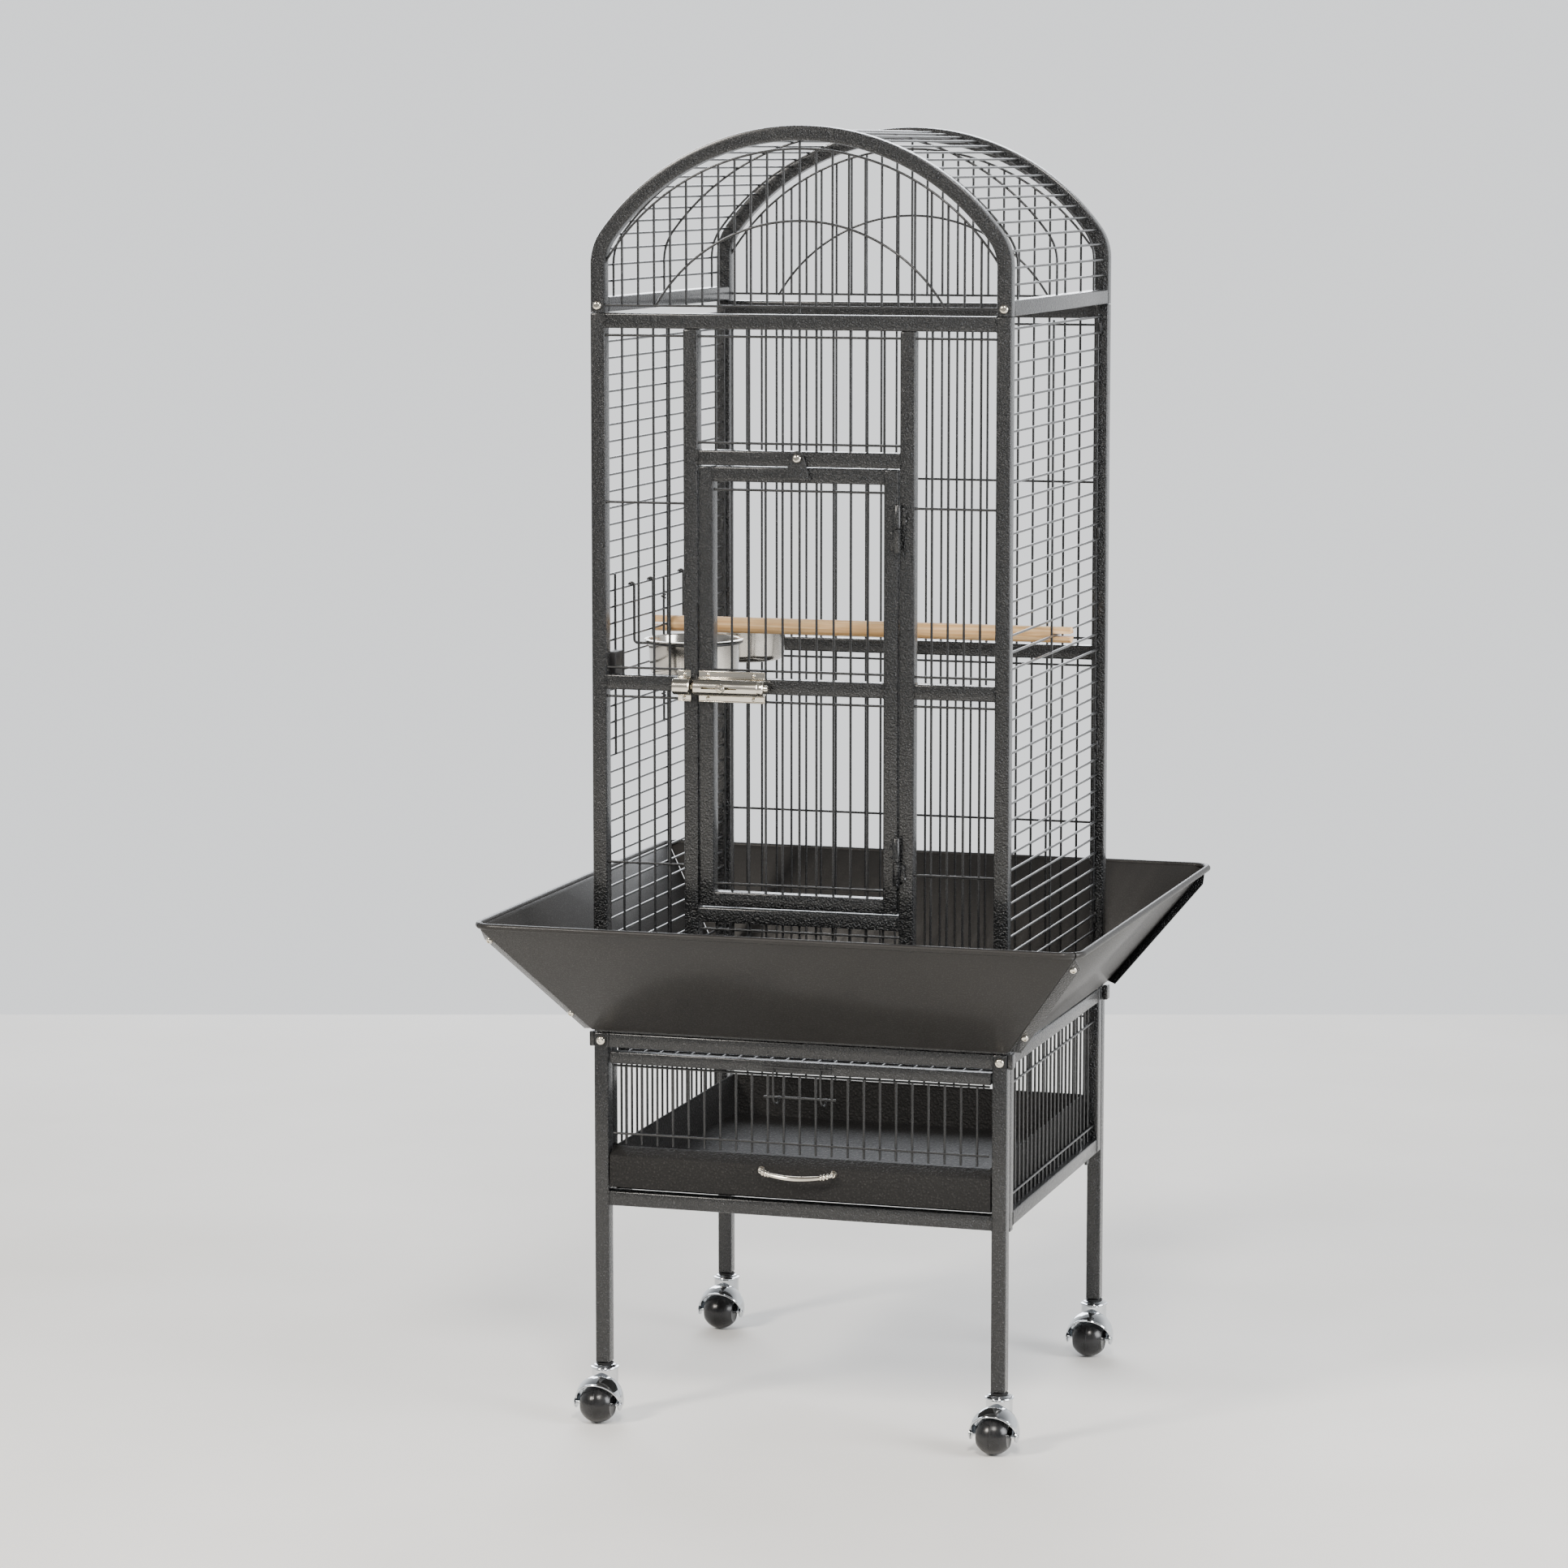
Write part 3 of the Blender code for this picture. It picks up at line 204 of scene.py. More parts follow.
def lathe(profile, centre, axis="Z", steps=48, closed=False):
    spot = {"X": lambda r, a: (a, r, 0), "Y": lambda r, a: (r, a, 0), "Z": lambda r, a: (r, 0, a)}[axis]
    centre = Vector(centre)
    points = [centre + Vector(spot(r, a)) for r, a in profile]
    edges = [(i, i + 1) for i in range(len(points) - 1)]
    if closed:
        edges.append((len(points) - 1, 0))
    mesh = bpy.data.meshes.new("turned")
    mesh.from_pydata(points, edges, [])
    piece = addToScene("turned", mesh)
    focus(piece)
    bpy.ops.object.mode_set(mode="EDIT")
    bpy.ops.mesh.select_all(action="SELECT")
    about = {"X": (1, 0, 0), "Y": (0, 1, 0), "Z": (0, 0, 1)}[axis]
    bpy.ops.mesh.spin(steps=steps, angle=2 * math.pi, center=centre, axis=about)
    bpy.ops.object.mode_set(mode="OBJECT")
    return closeUp(piece)


def carryOver(node, edge=0.0, segments=2):
    # a copy of a cad part, merged first, that gets worked edges
    piece = addToScene(node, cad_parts[node].data.copy())
    piece.data.materials.clear()
    closeUp(piece)
    step = piece.modifiers.new("flat faces", "DECIMATE")
    step.decimate_type = "DISSOLVE"
    step.angle_limit = math.radians(2)
    applySteps(piece)
    return roundEdges(piece, edge, segments) if edge else piece


def evenly(low, high, count):
    return [low + (high - low) * (i + 1) / (count + 1) for i in range(count)]


def finishPiece(piece, name, look, slot, body, *nodes, smooth=40):
    piece.name = name
    piece.data.name = name
    piece.data.materials.clear()
    piece.data.materials.append(look)
    focus(piece)
    bpy.ops.object.shade_smooth_by_angle(angle=math.radians(smooth))
    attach(piece, body)
    if nodes:
        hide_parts(*nodes)
    return piece


# ---- materials

def linearColour(code):
    parts = [int(code[i:i + 2], 16) / 255 for i in (1, 3, 5)]
    return [p / 12.92 if p <= 0.04045 else ((p + 0.055) / 1.055) ** 2.4 for p in parts] + [1.0]


def addNode(look, kind, values=None, links=None, **settings):
    node = look.node_tree.nodes.new(kind)
    for key, value in settings.items():
        setattr(node, key, value)
    for socket, value in (values or {}).items():
        node.inputs[socket].default_value = value
    for socket, source in (links or {}).items():
        look.node_tree.links.new(source, node.inputs[socket])
    return node


def startMaterial(name, **constants):
    look = bpy.data.materials.new(name)
    look.use_nodes = True
    shader = look.node_tree.nodes["Principled BSDF"]
    for socket, value in constants.items():
        shader.inputs[socket.replace("_", " ")].default_value = value
    place = addNode(look, "ShaderNodeTexCoord").outputs["Object"]
    return look, shader, place


def addRamp(look, source, stops, interpolation="LINEAR"):
    ramp = addNode(look, "ShaderNodeValToRGB", links={"Fac": source})
    ramp.color_ramp.interpolation = interpolation
    while len(ramp.color_ramp.elements) < len(stops):
        ramp.color_ramp.elements.new(0.5)
    for element, (position, colour) in zip(ramp.color_ramp.elements, stops):
        element.position = position
        element.color = linearColour(colour) if isinstance(colour, str) else (colour,) * 3 + (1.0,)
    return ramp.outputs["Color"]


def setLink(look, source, shader, socket):
    look.node_tree.links.new(source, shader.inputs[socket])


# powder coat with a hammered finish: dark, with small shining hills a few millimetres apart; the hill tops also get a
# paler colour, a painted highlight
def hammertonePowderCoat(name, hill, dark, paintedHillGlint, rough, depth, coat):
    look, shader, place = startMaterial(name, Metallic=0.35, Coat_Weight=coat, Coat_Roughness=0.18)
    cells = addNode(look, "ShaderNodeTexVoronoi", {"Scale": 1 / hill, "Smoothness": 0.6}, {"Vector": place},
                    feature="SMOOTH_F1").outputs["Distance"]
    wander = addNode(look, "ShaderNodeTexNoise", {"Scale": 0.8 / hill, "Detail": 2.0, "Roughness": 0.55},
                     {"Vector": place}).outputs["Fac"]
    patches = addNode(look, "ShaderNodeTexNoise", {"Scale": 9.0, "Detail": 2.0}, {"Vector": place}).outputs["Fac"]
    hills = addNode(look, "ShaderNodeMath", {}, {0: cells, 1: wander}, operation="ADD").outputs[0]
    # painted highlight: the paler colour goes on the hill tops and the dark one in the hollows
    colour = addRamp(look, hills, [(0.50, paintedHillGlint), (0.85, dark), (1.0, dark)])
    worn = addRamp(look, patches, [(0.35, 0.84), (0.7, 1.0)])
    mixed = addNode(look, "ShaderNodeMix", {"Factor": 1.0}, data_type="RGBA", blend_type="MULTIPLY")
    setLink(look, colour, mixed, 6)
    setLink(look, worn, mixed, 7)
    setLink(look, mixed.outputs[2], shader, "Base Color")
    setLink(look, addRamp(look, hills, [(0.4, rough), (1.0, min(1.0, rough + 0.2))]), shader, "Roughness")
    relief = addNode(look, "ShaderNodeBump", {"Strength": 1.0, "Distance": depth}, {"Height": hills}, invert=True)
    setLink(look, relief.outputs["Normal"], shader, "Normal")
    return look


# bright plated steel: an even shine with faint polishing lines
def platedSteel(name, tint, dull, rough, lines):
    look, shader, place = startMaterial(name, Metallic=1.0)
    stretched = addNode(look, "ShaderNodeMapping", {"Scale": (60.0, 60.0, 60.0 * lines)}, {"Vector": place})
    polish = addNode(look, "ShaderNodeTexNoise", {"Scale": 9.0, "Detail": 4.0},
                     {"Vector": stretched.outputs[0]}).outputs["Fac"]
    haze = addNode(look, "ShaderNodeTexNoise", {"Scale": 45.0, "Detail": 2.0}, {"Vector": place}).outputs["Fac"]
    setLink(look, addRamp(look, haze, [(0.35, rough), (0.75, rough * 1.7)]), shader, "Roughness")
    setLink(look, addRamp(look, haze, [(0.35, tint), (0.80, dull)]), shader, "Base Color")
    relief = addNode(look, "ShaderNodeBump", {"Strength": 0.12, "Distance": 0.00003}, {"Height": polish})
    setLink(look, relief.outputs["Normal"], shader, "Normal")
    return look


# sanded pine dowel: pale, with darker year lines along it
def sandedPine(name):
    look, shader, place = startMaterial(name, Roughness=0.55, Specular_IOR_Level=0.35)
    along = addNode(look, "ShaderNodeMapping", {"Scale": (5.0, 150.0, 150.0)}, {"Vector": place}).outputs[0]
    grain = addNode(look, "ShaderNodeTexNoise", {"Scale": 1.6, "Detail": 5.0, "Distortion": 0.6},
                    {"Vector": along}).outputs["Fac"]
    fibre = addNode(look, "ShaderNodeTexNoise", {"Scale": 9.0, "Detail": 2.0}, {"Vector": along}).outputs["Fac"]
    colour = addRamp(look, grain, [(0.3, "#b98a55"), (0.46, "#d6ab76"), (0.62, "#e6c496"), (0.8, "#cfa06a")])
    pale = addRamp(look, fibre, [(0.3, 0.86), (0.65, 1.0)])
    mixed = addNode(look, "ShaderNodeMix", {"Factor": 1.0}, data_type="RGBA", blend_type="MULTIPLY")
    setLink(look, colour, mixed, 6)
    setLink(look, pale, mixed, 7)
    setLink(look, mixed.outputs[2], shader, "Base Color")
    relief = addNode(look, "ShaderNodeBump", {"Strength": 0.35, "Distance": 0.0002}, {"Height": fibre})
    setLink(look, relief.outputs["Normal"], shader, "Normal")
    return look


# moulded plastic: near black, with an even shine that handling dulls in patches
def mouldedPlastic(name, tint, rough, grain):
    look, shader, place = startMaterial(name, IOR=1.5)
    patches = addNode(look, "ShaderNodeTexNoise", {"Scale": 70.0, "Detail": 4.0}, {"Vector": place}).outputs["Fac"]
    skin = addNode(look, "ShaderNodeTexNoise", {"Scale": 1 / grain, "Detail": 1.0}, {"Vector": place}).outputs["Fac"]
    setLink(look, addRamp(look, patches, [(0.3, tint), (0.8, "#2a2a2b")]), shader, "Base Color")
    setLink(look, addRamp(look, patches, [(0.3, rough), (0.8, rough + 0.16)]), shader, "Roughness")
    relief = addNode(look, "ShaderNodeBump", {"Strength": 0.3, "Distance": 0.00005}, {"Height": skin})
    setLink(look, relief.outputs["Normal"], shader, "Normal")
    return look


hammertone = hammertonePowderCoat("hammertone powder coat on steel tube", 0.0018, "#151617", "#313337", 0.17, 0.0016,
                                  0.6)
wireCoat = hammertonePowderCoat("hammertone powder coat on steel wire", 0.0015, "#161718", "#303236", 0.24, 0.0004,
                                0.5)
sheetCoat = hammertonePowderCoat("fine hammertone powder coat on sheet steel", 0.0016, "#242220", "#2b2926", 0.40,
                                 0.00010, 0.2)
trayCoat = hammertonePowderCoat("coarse hammertone powder coat on sheet steel", 0.0024, "#191817", "#2f2d2b", 0.50,
                                0.0009, 0.0)
nickelPlate = platedSteel("bright nickel plate, buffed", "#e2dccf", "#cfc8ba", 0.13, 6.0)
chromePlate = platedSteel("chrome plate, mirror", "#d9dcdf", "#cdd0d3", 0.06, 1.0)
spunStainless = platedSteel("spun stainless steel", "#c3bfb8", "#b3afa8", 0.13, 40.0)
pine = sandedPine("sanded pine dowel")
ballPlastic = mouldedPlastic("moulded nylon, gloss", "#0d0d0e", 0.20, 0.0008)
latchPlastic = mouldedPlastic("moulded ABS, fine grain", "#101011", 0.38, 0.0004)
print("materials ready")


# ---- square tube frames

def spotAcross(side):
    return lambda u, v, n: (u, side * (cage["postY"] + n), v)


def spotAlong(side):
    return lambda u, v, n: (side * (cage["postX"] + n), u, v)


def tubeFrame(uprights, rails, spot):
    # uprights are (place, low, high), and rails are (height, left, right)
    parts, seams = [], []
    for u, low, high in uprights:
        parts.append(addBlock(spot(u - half, low, -half), spot(u + half, high, half), cage["tubeEdge"], 3))
    for v, left, right in rails:
        parts.append(addBlock(spot(left, v - half, -half), spot(right, v + half, half), cage["tubeEdge"], 3))
        for end in (left, right):
            corners = [(-1, -1), (1, -1), (1, 1), (-1, 1)]
            seams.append([spot(end, v + a * (half - 0.0004), b * (half - 0.0004)) for a, b in corners])
    for ring in seams:
        loop = roundCorners(ring + ring[:2], 0.0018, 3)[1:-1]
        parts.append(addBent(loop, 0.0010, closed=True, rounding=1))
    return joinAll(parts)


def gridWires(verticals, horizontals, spot, lift, welded=True):
    # lift is how far the cross wires stand off the upright ones
    runs = [(spot(u, low, 0), spot(u, high, 0)) for u, low, high in verticals]
    runs += [(spot(left, v, lift), spot(right, v, lift)) for v, left, right in horizontals]
    parts = [addWires(runs)]
    if welded:
        parts.append(addBeads([point for run in runs for point in run]))
    return joinAll(parts)


post, mullion = cage["postX"], cage["mullion"]
inner = cage["innerX"]
frontFrame = {
    "uprights": [(-post, cage["low"], cage["high"]), (post, cage["low"], cage["high"]),
                 (-mullion, cage["low"] + 2 * half, cage["high"] - 2 * half),
                 (mullion, cage["low"] + 2 * half, cage["high"] - 2 * half)],
    "rails": [(cage["low"] + half, -inner, inner), (cage["high"] - half, -inner, inner),
              (cage["header"], half - mullion, mullion - half), (cage["sill"], half - mullion, mullion - half),
              (cage["midRail"], -inner, -mullion - half), (cage["midRail"], mullion + half, inner)],
}
finishPiece(tubeFrame(frontFrame["uprights"], frontFrame["rails"], spotAcross(-1)),
            "frontFrame", hammertone, "hammertone_black", "cage", "front_panel_frame")

backFrame = {
    "uprights": [(-post, cage["low"], cage["high"]), (post, cage["low"], cage["high"])],
    "rails": [(cage["low"] + half, -inner, inner), (cage["midRail"], -inner, inner),
              (cage["high"] - half, -inner, inner)],
}
finishPiece(tubeFrame(backFrame["uprights"], backFrame["rails"], spotAcross(1)),
            "backFrame", hammertone, "hammertone_black", "cage", "back_panel")
print("cage frames made")


# ---- wires of the front and back

def acrossWires(side):
    return lambda u, v, n: (u, side * (cage["wireY"] + n), v)


near = 0.0075       # from a rail to the cross wire beside it
midHigh, midLow = cage["midRail"] + half, cage["midRail"] - half
top, bottom = cage["high"] - 2 * half, cage["low"] + 2 * half
frontOpenings = {
    "upper_left": (-inner, -mullion - half, midHigh, top, (midHigh + near, 0.9955, top - near), 4),
    "upper_right": (mullion + half, inner, midHigh, top, (midHigh + near, 0.9955, top - near), 4),
    "lower_left": (-inner, -mullion - half, bottom, midLow, (bottom + near, 0.6110, midLow - near), 4),
    "lower_right": (mullion + half, inner, bottom, midLow, (bottom + near, 0.6110, midLow - near), 4),
    "over_door": (half - mullion, mullion - half, cage["header"] + half, top,
                  (cage["header"] + half + near, top - near), 11),
    "under_sill": (half - mullion, mullion - half, bottom, cage["sill"] - half,
                   (bottom + near, cage["sill"] - half - near), 11),
}
for place, (left, right, low, high, heights, count) in frontOpenings.items():
    uprights = [(x, low, high) for x in evenly(left, right, count)]
    crosses = [(z, left, right) for z in heights]
    finishPiece(gridWires(uprights, crosses, acrossWires(-1), crossing), "frontWires_" + place, wireCoat,
                "hammertone_black", "cage", "front_wires_" + place, smooth=60)

backWires = []
for low, high, extra in ((bottom, midLow, 0.6110), (midHigh, top, 0.9955)):
    uprights = [(x, low, high) for x in evenly(-inner, inner, 23)]
    crosses = [(z, -inner, inner) for z in (low + near, extra, high - near)]
    backWires.append(gridWires(uprights, crosses, acrossWires(1), crossing))
finishPiece(joinAll(backWires), "backWires", wireCoat, "hammertone_black", "cage", smooth=60)
print("front and back wires made")


# ---- side panels, the feeder window and its door

def alongWires(side):
    return lambda u, v, n: (side * (cage["postX"] + n), u, v)


lowestRow = math.ceil((cage["low"] + 0.010 - cage["perchZ"]) / cage["pitch"])
highestRow = math.floor((cage["high"] - 0.006 - cage["perchZ"]) / cage["pitch"])
rowHeight = {k: cage["perchZ"] + k * cage["pitch"] for k in range(lowestRow, highestRow + 1)}
feeder = {"edge": -0.172, "hinge": -0.008, "jamb": -0.178, "low": -6, "high": 3}
reach = cage["innerY"]


def sidePanel(side, window):
    rows = []
    for k, z in rowHeight.items():
        if window and feeder["low"] <= k <= feeder["high"]:
            rows += [(z, -reach, feeder["jamb"]), (z, 0.0, reach)]
        else:
            rows.append((z, -reach, reach))
    bottomRow, topRow = rowHeight[lowestRow] - 0.003, rowHeight[highestRow] + 0.003
    columns = [(y, bottomRow, topRow) for y in (-0.2055, 0.0, 0.2055)]
    if window:
        columns.append((feeder["jamb"], rowHeight[feeder["low"] - 1], rowHeight[feeder["high"] + 1]))
    spot = alongWires(side)
    runs = [(spot(left, z, 0), spot(right, z, 0)) for z, left, right in rows]
    runs += [(spot(y, low, -crossing), spot(y, high, -crossing)) for y, low, high in columns]
    parts = [addWires(runs), addBeads([spot(y, z, -wire * 0.9) for z, a, b in rows for y in (-0.2055, 0.2055)
                                       if a - 0.001 <= y <= b + 0.001], 0.0014)]
    for y in (-1, 1):           # tabs that hook the panel into the posts
        for z in (0.505, 0.700, 0.940, 1.168):
            low = (side * (post - 0.0016), y * (reach - 0.0055), z - 0.0065)
            high = (side * (post + 0.0016), y * (reach + 0.0004), z + 0.0065)
            parts.append(addBlock(low, high, 0.0006))
    return joinAll(parts)


finishPiece(sidePanel(-1, True), "leftSideWires", wireCoat, "hammertone_black", "cage", "left_side_panel", smooth=60)
finishPiece(sidePanel(1, False), "rightSideWires", wireCoat, "hammertone_black", "cage", "right_side_panel",
            smooth=60)

spotLeft = alongWires(-1)
carried = [rowHeight[k] for k in range(feeder["low"], feeder["high"] + 1)]
runs = [(spotLeft(feeder["edge"] - wire, z, 0), spotLeft(feeder["hinge"] + wire, z, 0)) for z in carried]
runs += [(spotLeft(y, carried[0] - wire, -0.0003), spotLeft(y, carried[-1] + wire, -0.0003))
         for y in (feeder["edge"], feeder["hinge"])]
doorParts = [addWires(runs)]
for z in (carried[1] + 0.006, carried[-2] - 0.006):     # wire turned round the hinge upright
    turns = [(-post + 0.0022 * math.cos(a / 2), feeder["hinge"] + 0.0022 * math.sin(a / 2), z + 0.0003 * a)
             for a in range(0, 26)]
    doorParts.append(addBent(turns, 0.0009, rounding=1))
finishPiece(joinAll(doorParts), "feederDoor", wireCoat, "hammertone_black", "feeder_door", "feeder_door", smooth=60)
print("side panels made")


# ---- main door with its hinges

door = {"x": 0.1089, "low": 0.5685, "high": 1.0355, "edgeGap": 0.0085}
stile = door["x"] - half
doorInner = door["x"] - 2 * half
doorFrame = tubeFrame([(-stile, door["low"], door["high"]), (stile, door["low"], door["high"])],
                      [(door["low"] + half, -doorInner, doorInner), (cage["midRail"], -doorInner, doorInner),
                       (door["high"] - half, -doorInner, doorInner)], spotAcross(-1))
finishPiece(doorFrame, "mainDoorFrame", hammertone, "hammertone_black", "main_door", "main_door")
doorWires = []
for low, high in ((door["low"] + 2 * half, midLow), (midHigh, door["high"] - 2 * half)):
    uprights = [(x, low, high) for x in evenly(-doorInner, doorInner, 9)]
    crosses = [(z, -doorInner, doorInner) for z in (low + door["edgeGap"], high - door["edgeGap"])]
    doorWires.append(gridWires(uprights, crosses, acrossWires(-1), crossing))
finishPiece(joinAll(doorWires), "mainDoorWires", wireCoat, "hammertone_black", "main_door", smooth=60)

hinge = {"x": 0.1092, "y": -0.2294, "radius": 0.0038, "length": 0.0510, "face": -0.2253,
         "heights": {"upper": 0.9747, "lower": 0.6255}, "way": {"upper": -1, "lower": 1}}
for place, middle in hinge["heights"].items():
    way, r, reachZ = hinge["way"][place], hinge["radius"], hinge["length"] / 2
    centre = (hinge["x"], hinge["y"], 0.0)
    pinShape = [(0, -reachZ), (r - 0.0010, -reachZ), (r, -reachZ + 0.0012), (r, -0.0008), (r - 0.0005, -0.0003),
                (0.0018, -0.0003), (0.0018, reachZ - 0.0035), (0, reachZ - 0.0035)]
    socketShape = [(0.0021, 0.0003), (r - 0.0005, 0.0003), (r, 0.0008), (r, reachZ - 0.0012), (r - 0.0010, reachZ),
                   (0, reachZ), (0, reachZ - 0.0025), (0.0021, reachZ - 0.0025)]
    pinHalf = [lathe([(radius, middle + way * z) for radius, z in pinShape], centre, "Z", 28)]
    doorHalf = [lathe([(radius, middle + way * z) for radius, z in socketShape], centre, "Z", 28, closed=True)]
    for parts, side in ((pinHalf, 1), (doorHalf, -1)):
        low, high = sorted((middle - side * way * (reachZ - 0.004), middle - side * way * 0.004))
        across = sorted((hinge["x"] + side * 0.0026, hinge["x"] + side * 0.0085))
        parts.append(addBlock((across[0], hinge["y"] + 0.0014, low), (across[1], hinge["face"], high), 0.0008))
        drops = [(hinge["x"] + side * (0.0052 + 0.0022 * (i % 2)), hinge["face"] - 0.0010 + 0.0006 * (i % 3),
                  low + 0.001 + (high - low - 0.002) * i / 6) for i in range(7) if i not in (3,)]
        parts.append(addBeads(drops, 0.0024))
    finishPiece(joinAll(pinHalf), f"hinge_{place}_pinHalf", hammertone, "hammertone_black", "cage",
                f"hinge_{place}_pin_half")
    finishPiece(joinAll(doorHalf), f"hinge_{place}_doorHalf", hammertone, "hammertone_black", "main_door",
                f"hinge_{place}_door_half")
print("main door made")


# ---- slide bolt and its keeper

slideBolt = {"y": -0.2348, "z": 0.8034, "barrel": 0.0088, "rod": 0.0036, "plateBack": -0.2253,
             "plateFront": -0.2267, "plate": (0.7868, 0.8200), "body": (-0.1108, -0.0335),
             "keeper": (-0.1340, -0.1152), "knob": -0.0793, "rivet": 0.0021, "inset": 0.0022}


def boltHousing(ends, slot, rivets, ridges):
    low, high = ends
    y, z, inset = slideBolt["y"], slideBolt["z"], slideBolt["inset"]
    parts = [addBlock((low + inset, slideBolt["plateFront"], slideBolt["plate"][0]),
                      (high - inset, slideBolt["plateBack"], slideBolt["plate"][1]), 0.0006)]
    for edge in slideBolt["plate"]:        # the plate's long edges are turned over
        inward = 0.0007 if edge < z else -0.0007
        parts.append(addRod(0.0008, (low + inset, slideBolt["plateFront"], edge + inward),
                            (high - inset, slideBolt["plateFront"], edge + inward), 14, 0.0003))
    r, bore = slideBolt["barrel"], slideBolt["rod"] + 0.0006
    outer = [(r - 0.0008, low), (r, low + 0.0008)]
    for x in ridges:                       # pressed rings round the barrel
        outer += [(r, x - 0.0016), (r - 0.0005, x - 0.0011), (r - 0.0005, x - 0.0006), (r, x)]
    outer += [(r, high - 0.0008), (r - 0.0008, high)]
    barrel = lathe([(bore, low)] + outer + [(bore, high)], (0, y, z), "X", 64, closed=True)
    if slot:
        cutBy(barrel, addBlock((slot[0], y - 0.012, z - 0.0012), (slot[1], y - 0.001, z + 0.0012), 0))
    parts.append(barrel)
    for side in (-1, 1):                   # small fillets where the barrel springs from the plate
        parts.append(addRod(0.0013, (low + inset, slideBolt["plateFront"] - 0.0002, z + side * (r + 0.0002)),
                            (high - inset, slideBolt["plateFront"] - 0.0002, z + side * (r + 0.0002)), 14, 0.0003))
    for x in rivets:
        for height in (slideBolt["plate"][0] + 0.0040, slideBolt["plate"][1] - 0.0040):
            head = slideBolt["rivet"]
            dome = [(0, -head * 0.9), (head * 0.6, -head * 0.75), (head, -head * 0.3), (head, 0.0), (0, 0.0)]
            parts.append(lathe(dome, (x, slideBolt["plateFront"], height), "Y", 16))
    return joinAll(parts)


finishPiece(boltHousing(slideBolt["body"], (-0.1010, -0.0620), (-0.0985, -0.0480), (-0.0385,)), "boltBody",
            nickelPlate, "bright_nickel", "main_door", "bolt_body")
finishPiece(boltHousing(slideBolt["keeper"], None, (-0.1246,), ()), "boltKeeper", nickelPlate, "bright_nickel",
            "cage", "bolt_keeper")
left, right = slideBolt["keeper"][1] + 0.0006, slideBolt["body"][1] + 0.0040
rod = lathe([(0, left), (0.0028, left), (0.0036, left + 0.0010), (0.0036, right - 0.0010), (0.0028, right),
             (0, right)],
            (0, slideBolt["y"], slideBolt["z"]), "X", 36)
knobSpot = (slideBolt["knob"], slideBolt["y"] - 0.0030, slideBolt["z"])
knob = lathe([(0, 0), (0.0010, 0), (0.0010, -0.0061), (0.0042, -0.0062), (0.0049, -0.0068), (0.0049, -0.0086),
              (0.0044, -0.0092), (0.0036, -0.0093), (0.0032, -0.0088), (0.0026, -0.0100), (0.0012, -0.0104),
              (0, -0.0104)], knobSpot, "Y", 40)
cut = addBlock((-0.0040, -0.0013, -0.0005), (0.0040, 0.0013, 0.0005), 0)
cut.data.transform(Matrix.Translation(Vector(knobSpot) + Vector((0, -0.0102, 0)))
                   @ Matrix.Rotation(math.radians(35), 4, "Y"))
cutBy(knob, cut)
finishPiece(joinAll([rod, knob]), "boltRod", nickelPlate, "bright_nickel", "bolt_rod", "bolt_rod")
print("slide bolt made")


# ---- lock tab, and the bolts with domed heads

def domedBolt(centre, side, radius=0.0047, axis="Y"):
    # washer face, chamfer and a drive recess
    profile = [(0, 0.0), (radius, 0.0), (radius, 0.0009), (radius * 0.90, 0.0017), (radius * 0.72, 0.0025),
               (radius * 0.50, 0.0029), (radius * 0.42, 0.0029), (radius * 0.40, 0.0018), (0, 0.0018)]
    return lathe([(r, side * a) for r, a in profile], centre, axis, 28)


tab = carryOver("lock_tab", 0.0004)
finishPiece(tab, "lockTab", hammertone, "hammertone_black", "lock_tab", "lock_tab")
tabShaft = lathe([(0, -0.2253), (0.0040, -0.2253), (0.0040, -0.2266), (0.0025, -0.2266), (0.0025, -0.2292),
                  (0, -0.2292)],
                 (0, 0, 1.0455), "Y", 24)
finishPiece(joinAll([tabShaft, domedBolt((0, -0.2289, 1.0455), -1)]), "lockTabBolt", nickelPlate, "bright_nickel",
            "cage", "lock_tab_bolt")
for place, side in (("left", -1), ("right", 1)):
    finishPiece(domedBolt((side * post, -0.2253, 1.2022), -1), "domeBolt_" + place, nickelPlate, "bright_nickel",
                "cage", "dome_bolt_" + place)


# ---- dome: arches of square tube, gable wires and the wire roof

dome = {"radius": 0.2700, "centre": 1.1197, "shoulder": 0.0600, "spring": 1.2449, "foot": 1.1948, "low": 1.2025,
        "arc": (0.2522, 1.1133), "deco": (0.1832, 1.1081), "decoEnd": 0.1550, "railTop": 1.2107}


def archPath(offset, topSteps, bendSteps):
    big, small = dome["radius"] - half + offset, dome["shoulder"] - half + offset
    centreX = post - (dome["shoulder"] - half)
    join = math.atan2(centreX, dome["spring"] - dome["centre"])
    path = []
    for i in range(bendSteps):
        angle = math.pi / 2 - (math.pi / 2 - join) * i / bendSteps
        path.append((centreX + small * math.sin(angle), dome["spring"] + small * math.cos(angle)))
    for i in range(topSteps + 1):
        angle = join * (1 - i / topSteps)
        path.append((big * math.sin(angle), dome["centre"] + big * math.cos(angle)))
    return [(-x, z) for x, z in path[:-1]] + path[::-1]


